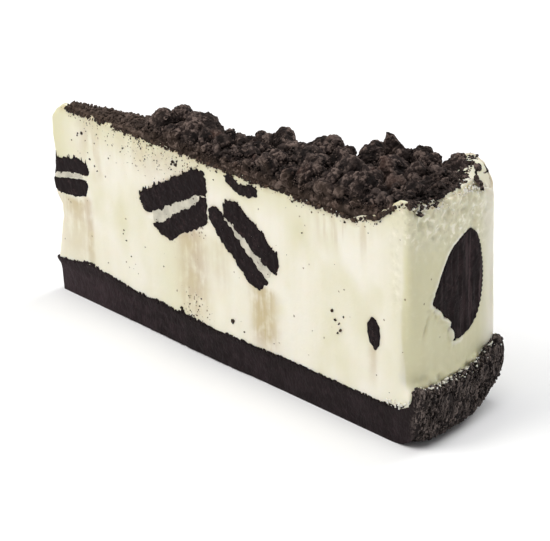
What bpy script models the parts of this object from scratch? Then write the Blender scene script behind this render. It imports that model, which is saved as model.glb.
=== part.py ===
"""One slice of a cookies-and-cream cheesecake, at its real size, in metres.

A pale cream cheese filling stands on a dark crust of pressed cookie crumbs that turns up
round the rim of the cake. Broken sandwich cookies lie in the filling, where the knife has cut
through them, and a heap of crushed cookies covers the top.

The whole cake is turned about its own axis, and one wedge of it is kept. +X runs along the
slice from its tip to its rim, +Z is up, and the origin lies on the table, under the middle of
the slice. A radius is measured from the axis of the whole cake. A place on a cut face is given
by its distance along the face from that axis and by its height.
"""

import math
import random

import bmesh
import bpy
import numpy as np
from mathutils import Matrix, Vector

MM = 0.001

# Driving dimensions of the cake
FILLING_RADIUS = 122.0 * MM
CRUST_RADIUS = 125.0 * MM
SLICE_HALF_ANGLE = math.radians(6.6)
NOSE_RADIUS = 0.9 * MM
CRUST_THICKNESS = 7.8 * MM
CRUST_LIP_HEIGHT = 13.6 * MM
CRUST_FOOT_RADIUS = 4.5 * MM
FILLING_TOP = 46.7 * MM
RIM_TOP = 53.1 * MM
CLEARANCE = 0.3 * MM
TURN_STEPS = 120
KNIFE_REACH = 135.0 * MM
KNIFE_HEIGHT = 80.0 * MM

# The tip is blunt where the two cuts meet, and the origin is halfway to the crust's outside
NOSE_CENTRE = NOSE_RADIUS / math.sin(SLICE_HALF_ANGLE)
SLICE_START = NOSE_CENTRE - NOSE_RADIUS
CRUMB_PROUD = 0.4 * MM
AXIS_X = -(SLICE_START + CRUST_RADIUS + CRUMB_PROUD) / 2

# Profile of the filling's top from the flat part over the raised rim, as radius and height
TOP_PROFILE = (
    (109.0 * MM, FILLING_TOP),
    (113.0 * MM, FILLING_TOP + 2.6 * MM),
    (116.5 * MM, RIM_TOP - 0.6 * MM),
    (119.0 * MM, RIM_TOP),
    (121.2 * MM, RIM_TOP - 0.5 * MM),
)

# Cookie depths into the slice
NEAR_DEPTH = 5.0 * MM
FAR_DEPTH = 6.0 * MM
SHARD_DEPTH = 3.0 * MM

CRUMB_SEED = 11
HEAP_CRUMBS = 112
GRIT_CRUMBS = 46


def clear_scene():
    """Remove every object that the file starts with."""
    for old in list(bpy.data.objects):
        bpy.data.objects.remove(old, do_unlink=True)


def new_collection(name):
    collection = bpy.data.collections.new(name)
    bpy.context.scene.collection.children.link(collection)
    return collection


def new_material(name, colour, roughness):
    """A plain food surface: its base colour and how matt it is."""
    material = bpy.data.materials.new(name)
    material.use_nodes = True
    shader = material.node_tree.nodes["Principled BSDF"]
    shader.inputs["Base Color"].default_value = (*colour, 1.0)
    shader.inputs["Roughness"].default_value = roughness
    shader.inputs["Metallic"].default_value = 0.0
    return material


def new_object(name, mesh, collection, material=None):
    piece = bpy.data.objects.new(name, mesh)
    collection.objects.link(piece)
    if material is not None:
        mesh.materials.append(material)
    return piece


def mark_as_cutter(piece):
    piece.hide_render = True
    piece.display_type = "WIRE"


def turned_body(name, profile, collection, material=None):
    """Turn a profile about the axis of the whole cake.

    The profile is a list of radius and height, from the axis over the top, down the outer side
    and back to the axis along the bottom.
    """
    mesh = bpy.data.meshes.new(name)
    points = [(radius, 0.0, height) for radius, height in profile]
    edges = [(i, i + 1) for i in range(len(points) - 1)]
    mesh.from_pydata(points, edges, [])
    piece = new_object(name, mesh, collection, material)
    piece.location = (AXIS_X, 0.0, 0.0)
    turn = piece.modifiers.new("Turn", "SCREW")
    turn.angle = math.tau
    turn.steps = TURN_STEPS
    turn.render_steps = TURN_STEPS
    turn.use_merge_vertices = True
    turn.merge_threshold = 0.00001
    return piece


def boolean(piece, operation, cutter=None, collection=None, solver="EXACT"):
    modifier = piece.modifiers.new(operation.title(), "BOOLEAN")
    modifier.operation = operation
    modifier.solver = solver
    if collection is None:
        modifier.object = cutter
    else:
        modifier.operand_type = "COLLECTION"
        modifier.collection = collection
    return modifier


def frame_on(origin, along, up):
    """A placing whose X runs along, whose Y runs up and whose Z is square to both."""
    along = Vector(along).normalized()
    up = Vector(up).normalized()
    square = along.cross(up)
    turn = Matrix((along, up, square)).transposed()
    return Matrix.Translation(Vector(origin)) @ turn.to_4x4()


def slab(name, outline, thickness, placing, collection, material=None):
    """A flat outline given a thickness to both sides of its own plane, as a closed mesh."""
    curve = bpy.data.curves.new(name + "_outline", "CURVE")
    curve.dimensions = "2D"
    curve.fill_mode = "BOTH"
    curve.extrude = thickness / 2
    spline = curve.splines.new("POLY")
    spline.points.add(len(outline) - 1)
    for point, (across, height) in zip(spline.points, outline):
        point.co = (across, height, 0.0, 1.0)
    spline.use_cyclic_u = True
    drawn = bpy.data.objects.new(name + "_outline", curve)
    collection.objects.link(drawn)
    drawn.matrix_world = placing
    bpy.context.view_layer.update()
    graph = bpy.context.evaluated_depsgraph_get()
    mesh = bpy.data.meshes.new_from_object(drawn.evaluated_get(graph))
    mesh.name = name
    solid = bmesh.new()
    solid.from_mesh(mesh)
    bmesh.ops.remove_doubles(solid, verts=solid.verts, dist=0.00001)
    bmesh.ops.recalc_face_normals(solid, faces=solid.faces)
    solid.to_mesh(mesh)
    solid.free()
    mesh.materials.clear()
    piece = new_object(name, mesh, collection, material)
    piece.matrix_world = drawn.matrix_world.copy()
    bpy.data.objects.remove(drawn, do_unlink=True)
    return piece


def grown(outline, margin):
    """The outline with every side moved out by the margin."""
    points = [Vector(point) for point in outline]
    area = sum(a.x * b.y - b.x * a.y for a, b in zip(points, points[1:] + points[:1]))
    outward = 1.0 if area > 0 else -1.0
    result = []
    for i, point in enumerate(points):
        before = (point - points[i - 1]).normalized()
        after = (points[(i + 1) % len(points)] - point).normalized()
        first = Vector((before.y, -before.x)) * outward
        second = Vector((after.y, -after.x)) * outward
        middle = (first + second).normalized()
        reach = margin / max(middle.dot(first), 0.5)
        result.append(tuple(point + middle * reach))
    return result


def scaled(outline):
    return [(across * MM, height * MM) for across, height in outline]


def arc(centre, radius, start, end, steps):
    """Points of an arc from one angle to another, both in degrees."""
    angles = np.radians(np.linspace(start, end, steps + 1))
    return [(centre[0] + radius * math.cos(a), centre[1] + radius * math.sin(a)) for a in angles]


def face_placing(side):
    """The plane of a cut face: side -1 is the near face and +1 the far one."""
    along = (math.cos(SLICE_HALF_ANGLE), side * math.sin(SLICE_HALF_ANGLE), 0.0)
    return frame_on((AXIS_X, 0.0, 0.0), along, (0.0, 0.0, 1.0))


def make_knife(cutters):
    """The wedge that is kept: two upright cuts that meet in a blunt nose."""
    away = math.degrees(SLICE_HALF_ANGLE)
    nose = arc((NOSE_CENTRE, 0.0), NOSE_RADIUS, 90 + away, 270 - away, 6)
    far_end = (KNIFE_REACH, KNIFE_REACH * math.tan(SLICE_HALF_ANGLE))
    outline = nose + [(far_end[0], -far_end[1]), far_end]
    placing = Matrix.Translation((AXIS_X, 0.0, KNIFE_HEIGHT / 2 - CRUST_THICKNESS))
    knife = slab("knife", outline, KNIFE_HEIGHT, placing, cutters)
    mark_as_cutter(knife)
    return knife


def jagged_crumb(rng, size, centre, detail=1):
    """A broken crumb: a ball of flat faces whose corners stand at uneven distances."""
    solid = bmesh.new()
    bmesh.ops.create_icosphere(solid, subdivisions=detail, radius=0.5)
    spin = Matrix.Rotation(rng.uniform(0, math.tau), 3, "Z")
    tip = Matrix.Rotation(rng.uniform(0, math.pi), 3, "X")
    for corner in solid.verts:
        corner.co = (spin @ tip @ corner.co) * rng.uniform(0.82, 1.12)
        corner.co.x *= size[0]
        corner.co.y *= size[1]
        corner.co.z *= size[2]
        corner.co += Vector(centre)
    return solid


def cake_point(radius, angle, height):
    return (AXIS_X + radius * math.cos(angle), radius * math.sin(angle), height)


def largest_shell(mesh):
    """Keep the one outer shell: loose scraps are dropped, and sealed hollows are filled."""
    solid = bmesh.new()
    solid.from_mesh(mesh)
    unseen = set(solid.faces)
    shells = []
    while unseen:
        shell = []
        waiting = [unseen.pop()]
        while waiting:
            face = waiting.pop()
            shell.append(face)
            for edge in face.edges:
                for neighbour in edge.link_faces:
                    if neighbour in unseen:
                        unseen.remove(neighbour)
                        waiting.append(neighbour)
        shells.append(shell)
    shells.sort(key=len, reverse=True)
    for shell in shells[1:]:
        bmesh.ops.delete(solid, geom=shell, context="FACES")
    bmesh.ops.triangulate(solid, faces=solid.faces)
    solid.to_mesh(mesh)
    solid.free()


def apply_modifiers(piece):
    """Make the evaluated shape the object's own mesh."""
    bpy.context.view_layer.update()
    graph = bpy.context.evaluated_depsgraph_get()
    mesh = bpy.data.meshes.new_from_object(piece.evaluated_get(graph))
    mesh.name = piece.name
    piece.modifiers.clear()
    piece.data = mesh


def fuse(piece, crumbs, name):
    """Join the crumbs to the piece as one solid, and remove the loose crumbs."""
    loose = new_collection(name)
    for i, crumb in enumerate(crumbs):
        mesh = bpy.data.meshes.new(f"{name}_{i:03d}")
        crumb.to_mesh(mesh)
        crumb.free()
        new_object(mesh.name, mesh, loose)
    boolean(piece, "UNION", collection=loose, solver="MANIFOLD")
    apply_modifiers(piece)
    for crumb in list(loose.objects):
        bpy.data.objects.remove(crumb, do_unlink=True)
    bpy.data.collections.remove(loose)


def crust_profile():
    """The crust's section: a flat strip, a lip up the rim and a rounded foot."""
    foot_centre = (CRUST_RADIUS - CRUST_FOOT_RADIUS, CRUST_FOOT_RADIUS)
    foot = arc(foot_centre, CRUST_FOOT_RADIUS, 0, -90, 5)
    inner_corner = FILLING_RADIUS - 3.6 * MM
    lip_inside = FILLING_RADIUS + CLEARANCE
    return [
        (0.0, CRUST_THICKNESS),
        (inner_corner, CRUST_THICKNESS),
        (lip_inside - 1.2 * MM, CRUST_LIP_HEIGHT - 3.0 * MM),
        (lip_inside, CRUST_LIP_HEIGHT - 0.9 * MM),
        (lip_inside + 0.6 * MM, CRUST_LIP_HEIGHT),
        (lip_inside + 1.6 * MM, CRUST_LIP_HEIGHT - 0.2 * MM),
        (CRUST_RADIUS - 0.3 * MM, CRUST_LIP_HEIGHT - 1.6 * MM),
        *foot,
        (0.0, 0.0),
    ]


def make_crust(parts, knife):
    """Pressed crumbs under the filling and up round its rim, coarse on the outside."""
    material = new_material("crust_crumb", (0.022, 0.015, 0.014), 0.85)
    crust = turned_body("crumb_crust", crust_profile(), parts, material)
    rng = random.Random(CRUMB_SEED)
    grit = []
    for i in range(GRIT_CRUMBS):
        size = rng.uniform(1.8, 3.0) * MM
        angle = rng.uniform(-0.93, 0.93) * SLICE_HALF_ANGLE
        if i % 3 == 0:
            radius = FILLING_RADIUS + CLEARANCE + 0.35 * MM + size * 0.55
            height = CRUST_LIP_HEIGHT - size * rng.uniform(0.2, 0.45)
        else:
            radius = CRUST_RADIUS + CRUMB_PROUD - size * 0.53
            height = rng.uniform(CRUST_FOOT_RADIUS, CRUST_LIP_HEIGHT - 2.4 * MM)
        grit.append(jagged_crumb(rng, (size, size, size), cake_point(radius, angle, height)))
    boolean(crust, "INTERSECT", cutter=knife)
    apply_modifiers(crust)
    fuse(crust, grit, "crust_grit")
    boolean(crust, "INTERSECT", cutter=knife)
    apply_modifiers(crust)
    largest_shell(crust.data)


def filling_profile():
    """The filling's section: flat top, raised rim, upright wall and a cut-back foot."""
    bottom = CRUST_THICKNESS + CLEARANCE
    lip_inside = FILLING_RADIUS
    return [
        (0.0, FILLING_TOP),
        *TOP_PROFILE,
        (FILLING_RADIUS, RIM_TOP - 1.8 * MM),
        (lip_inside, CRUST_LIP_HEIGHT - 0.8 * MM),
        (lip_inside - 1.3 * MM, CRUST_LIP_HEIGHT - 2.8 * MM),
        (lip_inside - 4.0 * MM, bottom),
        (0.0, bottom),
    ]


def make_filling(parts, knife, pockets):
    material = new_material("cream_cheese", (0.86, 0.80, 0.62), 0.45)
    filling = turned_body("cream_cheese_filling", filling_profile(), parts, material)
    boolean(filling, "INTERSECT", cutter=knife)
    boolean(filling, "DIFFERENCE", collection=pockets)


def cut_piece(name, outline, depth, side, parts, pockets, knife, material):
    """A cookie piece that the knife has cut: flush with a cut face, and in its own pocket."""
    placing = face_placing(side)
    inward = Vector((math.sin(SLICE_HALF_ANGLE), -side * math.cos(SLICE_HALF_ANGLE), 0.0))
    outside = 4.0 * MM
    for margin, collection, finish in ((0.0, parts, material), (CLEARANCE, pockets, None)):
        thickness = depth + margin + outside
        shift = inward * (thickness / 2 - outside)
        shape = grown(outline, margin) if margin else outline
        title = name if finish else name + "_pocket"
        piece = slab(title, shape, thickness, Matrix.Translation(shift) @ placing,
                     collection, finish)
        if finish:
            boolean(piece, "INTERSECT", cutter=knife)
        else:
            mark_as_cutter(piece)


def through_piece(name, outline, parts, pockets, knife, material):
    """A cookie piece in the thin tip, where both cuts go through it."""
    placing = frame_on((AXIS_X, 0.0, 0.0), (1.0, 0.0, 0.0), (0.0, 0.0, 1.0))
    width = 20.0 * MM
    piece = slab(name, outline, width, placing, parts, material)
    boolean(piece, "INTERSECT", cutter=knife)
    pocket = slab(name + "_pocket", grown(outline, CLEARANCE), width, placing, pockets)
    mark_as_cutter(pocket)


def wafer_material(name):
    return new_material(name, (0.026, 0.017, 0.016), 0.8)


def sandwich_cream_material(name):
    return new_material(name, (0.60, 0.56, 0.47), 0.55)


def make_tip_cookie(parts, pockets, knife):
    """The end of a sandwich cookie at the very tip of the slice, cut through on both sides."""
    upper = [(5.0, 29.9), (13.0, 31.4), (20.4, 31.7), (21.0, 33.0), (20.2, 34.6), (16.5, 35.5),
             (11.5, 34.1), (5.0, 33.4)]
    cream = [(5.0, 28.1), (13.5, 30.2), (19.3, 31.1), (19.3, 31.3), (13.2, 31.0), (5.0, 29.5)]
    lower = [(5.0, 25.4), (10.2, 25.0), (15.2, 25.6), (19.1, 26.4), (20.3, 29.4), (19.4, 30.8),
             (13.8, 29.8), (5.0, 27.7)]
    through_piece("tip_cookie_upper_wafer", scaled(upper), parts, pockets, knife,
                  wafer_material("tip_upper_wafer"))
    through_piece("tip_cookie_cream", scaled(cream), parts, pockets, knife,
                  sandwich_cream_material("tip_cookie_cream"))
    through_piece("tip_cookie_lower_wafer", scaled(lower), parts, pockets, knife,
                  wafer_material("tip_lower_wafer"))


def make_middle_cookie(parts, pockets, knife):
    """A sandwich cookie lying up towards the rim, with both wafers and the cream cut."""
    upper = [(38.6, 33.3), (38.6, 31.7), (39.8, 29.9), (40.9, 29.1), (43.0, 30.3), (46.3, 31.9),
             (50.9, 35.0), (55.0, 37.1), (58.1, 38.4), (61.3, 38.5), (61.6, 40.6), (61.0, 43.2),
             (58.6, 44.5), (54.3, 42.1), (48.7, 39.1), (42.4, 35.4)]
    cream = [(42.5, 29.4), (42.9, 27.6), (45.5, 28.2), (50.2, 31.1), (53.6, 33.9), (56.2, 34.9),
             (58.2, 36.7), (57.8, 37.8), (55.0, 36.6), (50.9, 34.5), (46.3, 31.4), (44.2, 30.4)]
    lower = [(43.0, 26.7), (45.7, 27.5), (50.4, 30.6), (54.4, 33.5), (56.4, 34.3), (58.8, 36.6),
             (59.3, 37.9), (61.2, 38.1), (61.5, 35.9), (61.4, 32.4), (59.8, 31.0), (55.9, 29.2),
             (52.9, 27.3), (50.2, 25.0), (47.9, 24.4), (44.5, 25.5)]
    cut_piece("middle_cookie_upper_wafer", scaled(upper), NEAR_DEPTH, -1, parts, pockets, knife,
              wafer_material("middle_upper_wafer"))
    cut_piece("middle_cookie_cream", scaled(cream), NEAR_DEPTH, -1, parts, pockets, knife,
              sandwich_cream_material("middle_cookie_cream"))
    cut_piece("middle_cookie_lower_wafer", scaled(lower), NEAR_DEPTH, -1, parts, pockets, knife,
              wafer_material("middle_lower_wafer"))


def make_steep_cookie(parts, pockets, knife):
    """A sandwich cookie sloping down towards the rim, its wafers parted at the upper end."""
    lower = [(61.8, 34.5), (62.2, 35.9), (63.4, 37.0), (64.9, 37.0), (66.3, 36.1), (66.6, 35.0),
             (70.6, 31.5), (73.0, 29.4), (77.0, 26.2), (80.0, 24.3), (78.9, 23.1), (77.4, 21.6),
             (73.9, 22.7), (69.0, 27.1), (65.9, 29.4), (63.7, 31.9)]
    cream = [(67.1, 34.9), (68.7, 33.9), (71.0, 31.7), (73.4, 29.8), (77.3, 26.7), (80.2, 25.2),
             (81.4, 26.6), (78.8, 28.5), (75.4, 31.0), (72.7, 32.8), (70.1, 34.2), (68.4, 35.0)]
    upper = [(68.9, 40.0), (66.9, 38.7), (66.7, 37.2), (67.5, 35.7), (69.8, 34.8), (73.6, 32.7),
             (79.0, 29.0), (81.5, 27.4), (82.8, 27.0), (83.8, 29.1), (83.4, 31.9), (80.9, 33.2),
             (79.1, 35.2), (74.7, 37.6), (71.1, 40.2)]
    cut_piece("steep_cookie_lower_wafer", scaled(lower), NEAR_DEPTH, -1, parts, pockets, knife,
              wafer_material("steep_lower_wafer"))
    cut_piece("steep_cookie_cream", scaled(cream), NEAR_DEPTH, -1, parts, pockets, knife,
              sandwich_cream_material("steep_cookie_cream"))
    cut_piece("steep_cookie_upper_wafer", scaled(upper), NEAR_DEPTH, -1, parts, pockets, knife,
              wafer_material("steep_upper_wafer"))


def make_shards(parts, pockets, knife):
    """Small wafer shards that show on the near face."""
    top_shard = [(67.9, 45.4), (68.2, 43.9), (70.5, 42.7), (73.3, 42.1), (77.3, 43.0),
                 (77.8, 44.7), (75.7, 45.2), (72.0, 44.4), (69.7, 45.6)]
    low_shard = [(110.0, 25.0), (110.0, 22.5), (110.8, 20.8), (111.9, 19.8), (113.0, 21.8),
                 (113.1, 24.7), (112.1, 26.5), (110.9, 26.7)]
    cut_piece("top_shard", scaled(top_shard), SHARD_DEPTH, -1, parts, pockets, knife,
              wafer_material("top_shard_wafer"))
    cut_piece("low_shard", scaled(low_shard), SHARD_DEPTH, -1, parts, pockets, knife,
              wafer_material("low_shard_wafer"))


def make_far_cookies(parts, pockets, knife):
    """The far cut face holds a sandwich cookie and two shards of its own."""
    upper = [(86.2, 27.3), (87.6, 24.6), (96.0, 26.4), (105.8, 30.4), (107.5, 33.0),
             (104.8, 35.3), (96.0, 31.8)]
    cream = [(88.0, 24.3), (88.6, 22.2), (97.5, 23.9), (106.2, 27.8), (106.0, 30.1),
             (96.6, 26.1)]
    lower = [(88.9, 21.8), (89.6, 18.2), (93.0, 16.9), (101.0, 18.9), (108.6, 22.8),
             (108.8, 26.2), (106.4, 27.5), (97.8, 23.5)]
    bar = [(30.5, 20.6), (32.4, 17.0), (35.8, 17.4), (44.6, 23.4), (46.0, 26.6), (43.4, 28.6),
           (36.0, 24.6)]
    shard = [(60.2, 37.2), (61.5, 34.6), (65.4, 33.8), (69.0, 35.9), (68.4, 38.8), (63.8, 39.6)]
    cut_piece("far_cookie_upper_wafer", scaled(upper), FAR_DEPTH, 1, parts, pockets, knife,
              wafer_material("far_upper_wafer"))
    cut_piece("far_cookie_cream", scaled(cream), FAR_DEPTH, 1, parts, pockets, knife,
              sandwich_cream_material("far_cookie_cream"))
    cut_piece("far_cookie_lower_wafer", scaled(lower), FAR_DEPTH, 1, parts, pockets, knife,
              wafer_material("far_lower_wafer"))
    cut_piece("far_wafer_bar", scaled(bar), SHARD_DEPTH, 1, parts, pockets, knife,
              wafer_material("far_bar_wafer"))
    cut_piece("far_shard", scaled(shard), SHARD_DEPTH, 1, parts, pockets, knife,
              wafer_material("far_shard_wafer"))


def make_rim_wafer(parts, pockets):
    """Part of one wafer lying flat in the rim wall: round on one side, broken on the other."""
    thickness = 3.2 * MM
    proud = 0.2 * MM
    rounded = arc((-3.0, 31.0), 12.5, 65, -57, 10)
    broken = [(-0.9, 20.5), (-1.0, 23.5), (-4.3, 27.2), (-7.5, 30.4), (-4.2, 35.6), (0.0, 41.0)]
    outline = scaled(rounded + broken)
    middle = AXIS_X + FILLING_RADIUS + proud - thickness / 2
    placing = frame_on((middle, 0.0, 0.0), (0.0, 1.0, 0.0), (0.0, 0.0, 1.0))
    slab("rim_wafer", outline, thickness, placing, parts, wafer_material("rim_wafer"))
    outside = 3.0 * MM
    cut = thickness + CLEARANCE + outside
    middle += (outside - CLEARANCE) / 2
    placing = frame_on((middle, 0.0, 0.0), (0.0, 1.0, 0.0), (0.0, 0.0, 1.0))
    pocket = slab("rim_wafer_pocket", grown(outline, CLEARANCE), cut, placing, pockets)
    mark_as_cutter(pocket)


def filling_top_at(radius):
    """Height of the filling's top at a radius."""
    radii = [0.0] + [point[0] for point in TOP_PROFILE] + [FILLING_RADIUS]
    heights = [FILLING_TOP] + [point[1] for point in TOP_PROFILE] + [RIM_TOP - 1.8 * MM]
    return float(np.interp(radius, radii, heights))


# Depth of the crumb heap over the filling along the slice, as radius and depth
HEAP_START = 11.0 * MM
HEAP_END = 120.6 * MM
HEAP_STATIONS = 25
HEAP_RADII = (11.0, 16.0, 30.0, 38.0, 44.0, 54.0, 60.0, 68.0, 76.0, 84.0, 92.0, 100.0, 108.0,
              113.0, 117.0, 120.6)
HEAP_DEPTHS = (0.4, 0.9, 1.5, 2.0, 3.6, 4.2, 2.8, 2.8, 4.6, 4.4, 5.4, 5.8, 6.2, 3.8, 2.0, 0.5)


def heap_depth(radius):
    return float(np.interp(radius / MM, HEAP_RADII, HEAP_DEPTHS)) * MM


def heap_core(rng):
    """The body of the heap: arched sections carried along the slice from tip to rim."""
    across = (-1.0, -0.97, -0.7, -0.35, 0.0, 0.35, 0.7, 0.97, 1.0)
    arch = (0.0, 0.45, 0.85, 1.0, 1.0, 1.0, 0.85, 0.45, 0.0)
    radii = np.linspace(HEAP_START, HEAP_END, HEAP_STATIONS)
    edge_inset = 0.25 * MM
    solid = bmesh.new()
    rings = []
    for radius in radii:
        reach = SLICE_HALF_ANGLE - edge_inset / radius
        floor = filling_top_at(radius) + CLEARANCE
        depth = heap_depth(radius) + rng.uniform(-0.25, 0.25) * MM
        ring = []
        for place, share in zip(across, arch):
            height = floor + depth * share * (rng.uniform(0.85, 1.1) if share else 1.0)
            ring.append(solid.verts.new(cake_point(radius, place * reach, height)))
        for place in across[-2:0:-1]:
            ring.append(solid.verts.new(cake_point(radius, place * reach, floor)))
        rings.append(ring)
    count = len(rings[0])
    for first, second in zip(rings, rings[1:]):
        for i in range(count):
            j = (i + 1) % count
            solid.faces.new((first[i], first[j], second[j], second[i]))
    solid.faces.new(rings[0])
    solid.faces.new(rings[-1])
    bmesh.ops.triangulate(solid, faces=solid.faces)
    bmesh.ops.recalc_face_normals(solid, faces=solid.faces)
    return solid


# The clumps that stand out of the heap: radius, distance from the middle plane and size in mm
CLUMPS = (
    (44.0, 0.6, (9.5, 7.5, 6.5), 2.8),
    (52.0, 0.2, (11.0, 9.5, 8.5), 3.6),
    (75.0, 4.6, (5.0, 4.5, 4.5), 4.8),
    (70.5, -1.0, (6.0, 6.0, 4.5), 3.0),
    (84.0, 1.0, (7.5, 6.5, 5.0), 5.0),
    (90.5, 4.0, (6.5, 6.0, 5.0), 5.8),
    (89.0, -5.5, (7.0, 5.5, 4.5), 4.0),
    (98.5, -3.0, (7.0, 7.5, 5.0), 6.0),
    (103.0, 5.0, (5.5, 5.0, 8.5), 7.5),
    (108.5, 7.0, (6.0, 6.0, 5.5), 6.6),
    (107.0, -6.5, (7.0, 6.0, 5.0), 5.0),
    (112.0, 0.5, (7.5, 7.0, 5.0), 4.6),
)


def make_topping(parts, cutters):
    """Crushed cookies heaped on the filling: one solid out to its uneven outline."""
    rng = random.Random(CRUMB_SEED + 1)
    mesh = bpy.data.meshes.new("crumb_topping")
    core = heap_core(rng)
    core.to_mesh(mesh)
    core.free()
    material = new_material("topping_crumb", (0.030, 0.020, 0.017), 0.85)
    topping = new_object("crumb_topping", mesh, parts, material)
    crumbs = []
    for radius, aside, size, lift in CLUMPS:
        angle = math.asin(aside / radius)
        centre = cake_point(radius * MM, angle, filling_top_at(radius * MM) + lift * MM)
        detail = 2 if max(size) > 8.0 else 1
        crumbs.append(jagged_crumb(rng, [s * MM for s in size], centre, detail))
    sizes = sorted((rng.uniform(2.4, 6.4) for _ in range(HEAP_CRUMBS)), reverse=True)
    for order, size in enumerate(sizes):
        share = (order * 0.6180339887 + 0.3) % 1.0
        radius = (16.0 ** 2 + share * (119.0 ** 2 - 16.0 ** 2)) ** 0.5
        size = min(size, 1.2 + 0.055 * radius)
        room = radius * math.sin(SLICE_HALF_ANGLE) - 0.42 * size
        aside = rng.uniform(-1.0, 1.0) * room
        angle = math.asin(aside / radius)
        edge = 1.0 - 0.45 * abs(aside / room) ** 3
        depth = heap_depth(radius * MM) * edge
        lift = depth + size * rng.uniform(-0.05, 0.22) * MM
        shape = [size * MM * rng.uniform(0.8, 1.15) for _ in range(3)]
        centre = cake_point(radius * MM, angle, filling_top_at(radius * MM) + lift)
        crumbs.append(jagged_crumb(rng, shape, centre))
    fuse(topping, crumbs, "heap_crumbs")
    air_floor = [(point[0], point[1] + CLEARANCE) for point in TOP_PROFILE]
    air_top = KNIFE_HEIGHT - 2 * CRUST_THICKNESS
    reach = FILLING_RADIUS + 1.0 * MM
    air = [
        (0.0, air_top),
        (reach, air_top),
        (reach, RIM_TOP - 1.2 * MM),
        *reversed(air_floor),
        (0.0, FILLING_TOP + CLEARANCE),
    ]
    above = turned_body("air_above_filling", air, cutters)
    mark_as_cutter(above)
    boolean(topping, "INTERSECT", cutter=above, solver="MANIFOLD")
    apply_modifiers(topping)
    largest_shell(topping.data)


def main():
    clear_scene()
    parts = new_collection("cheesecake_slice")
    cutters = new_collection("cutters")
    pockets = new_collection("cookie_pockets")
    knife = make_knife(cutters)
    make_crust(parts, knife)
    make_tip_cookie(parts, pockets, knife)
    make_middle_cookie(parts, pockets, knife)
    make_steep_cookie(parts, pockets, knife)
    make_shards(parts, pockets, knife)
    make_far_cookies(parts, pockets, knife)
    make_rim_wafer(parts, pockets)
    make_filling(parts, knife, pockets)
    make_topping(parts, cutters)


main()
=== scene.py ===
import math

import bmesh
import bpy
import numpy as np
from mathutils import Matrix


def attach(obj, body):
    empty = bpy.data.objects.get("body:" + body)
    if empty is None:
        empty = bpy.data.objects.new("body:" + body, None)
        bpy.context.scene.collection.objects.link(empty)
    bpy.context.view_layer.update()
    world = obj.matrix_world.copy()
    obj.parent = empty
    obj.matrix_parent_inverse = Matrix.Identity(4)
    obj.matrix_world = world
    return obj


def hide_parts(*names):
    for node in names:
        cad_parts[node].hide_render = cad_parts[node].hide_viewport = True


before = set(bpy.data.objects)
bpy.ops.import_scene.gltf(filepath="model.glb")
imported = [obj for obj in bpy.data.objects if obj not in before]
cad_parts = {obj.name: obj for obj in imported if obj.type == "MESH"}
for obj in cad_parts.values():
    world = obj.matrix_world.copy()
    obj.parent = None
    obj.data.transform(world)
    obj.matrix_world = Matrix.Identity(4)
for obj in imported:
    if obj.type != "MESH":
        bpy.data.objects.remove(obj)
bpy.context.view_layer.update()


# The photographer's camera, white table and lights.
# A long lens looks down on the slice from beyond its near cut and its rim. A broad soft light stands
# to the left and lights the near cut, so the rim is left to the pale light of the room.
view_turn = math.radians(41.4619)
view_height = math.radians(24.5218)
view_roll = math.radians(-2.1067)
view_distance = 0.514119
looked_at = (0.008686, -0.001454, 0.023)
photo_width = 550.0
lens_in_pixels = 2400.0
film_width = 36.0


def seen_from(turn, rise):
    """Directions for something that faces the slice from a turn round it and a rise above it:
    backwards, away from the slice, and level to its right."""
    backwards = (math.sin(turn) * math.cos(rise), -math.cos(turn) * math.cos(rise), math.sin(rise))
    return np.array(backwards), np.array([math.cos(turn), math.sin(turn), 0.0])


def stood_at(right, up, backwards, spot):
    """The matrix of an object with these three directions that stands at a spot."""
    place = np.eye(4)
    for column, values in enumerate((right, up, backwards, spot)):
        place[:3, column] = values
    return Matrix(place.tolist())


backwards, level = seen_from(view_turn, view_height)
upright = np.cross(backwards, level)
right = math.cos(view_roll) * level + math.sin(view_roll) * upright
up = math.cos(view_roll) * upright - math.sin(view_roll) * level
lens = bpy.data.cameras.new("camera")
lens.sensor_width = film_width
lens.lens = lens_in_pixels / photo_width * film_width
lens.clip_start = 0.01
lens.clip_end = 20.0
camera = bpy.data.objects.new("camera", lens)
camera.matrix_world = stood_at(right, up, backwards, looked_at + view_distance * backwards)
bpy.context.collection.objects.link(camera)
bpy.context.scene.camera = camera
bpy.context.scene.view_settings.view_transform = "Standard"

half_table = 3.0
table_corners = [(-half_table, -half_table, 0), (half_table, -half_table, 0),
                 (half_table, half_table, 0), (-half_table, half_table, 0)]
table_mesh = bpy.data.meshes.new("white_table")
table_mesh.from_pydata(table_corners, [], [(0, 1, 2, 3)])
table = bpy.data.objects.new("white_table", table_mesh)
bpy.context.collection.objects.link(table)
paint = bpy.data.materials.new("white_table")
paint.use_nodes = True
paint_shader = paint.node_tree.nodes["Principled BSDF"]
paint_shader.inputs["Base Color"].default_value = (0.93, 0.93, 0.93, 1)
paint_shader.inputs["Roughness"].default_value = 0.9
table_mesh.materials.append(paint)

lights_aim = (0.0, 0.0, 0.03)


def soft_light(name, azimuth, elevation, distance, size, power, colour):
    """A square area light aimed at the slice from an azimuth and elevation, both in degrees."""
    light = bpy.data.lights.new(name, "AREA")
    light.shape = "SQUARE"
    light.size = size
    light.energy = power
    light.color = colour
    lamp = bpy.data.objects.new(name, light)
    backwards, level = seen_from(math.radians(azimuth), math.radians(elevation))
    lamp.matrix_world = stood_at(level, np.cross(backwards, level), backwards,
                                 backwards * distance + lights_aim)
    bpy.context.collection.objects.link(lamp)


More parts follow.
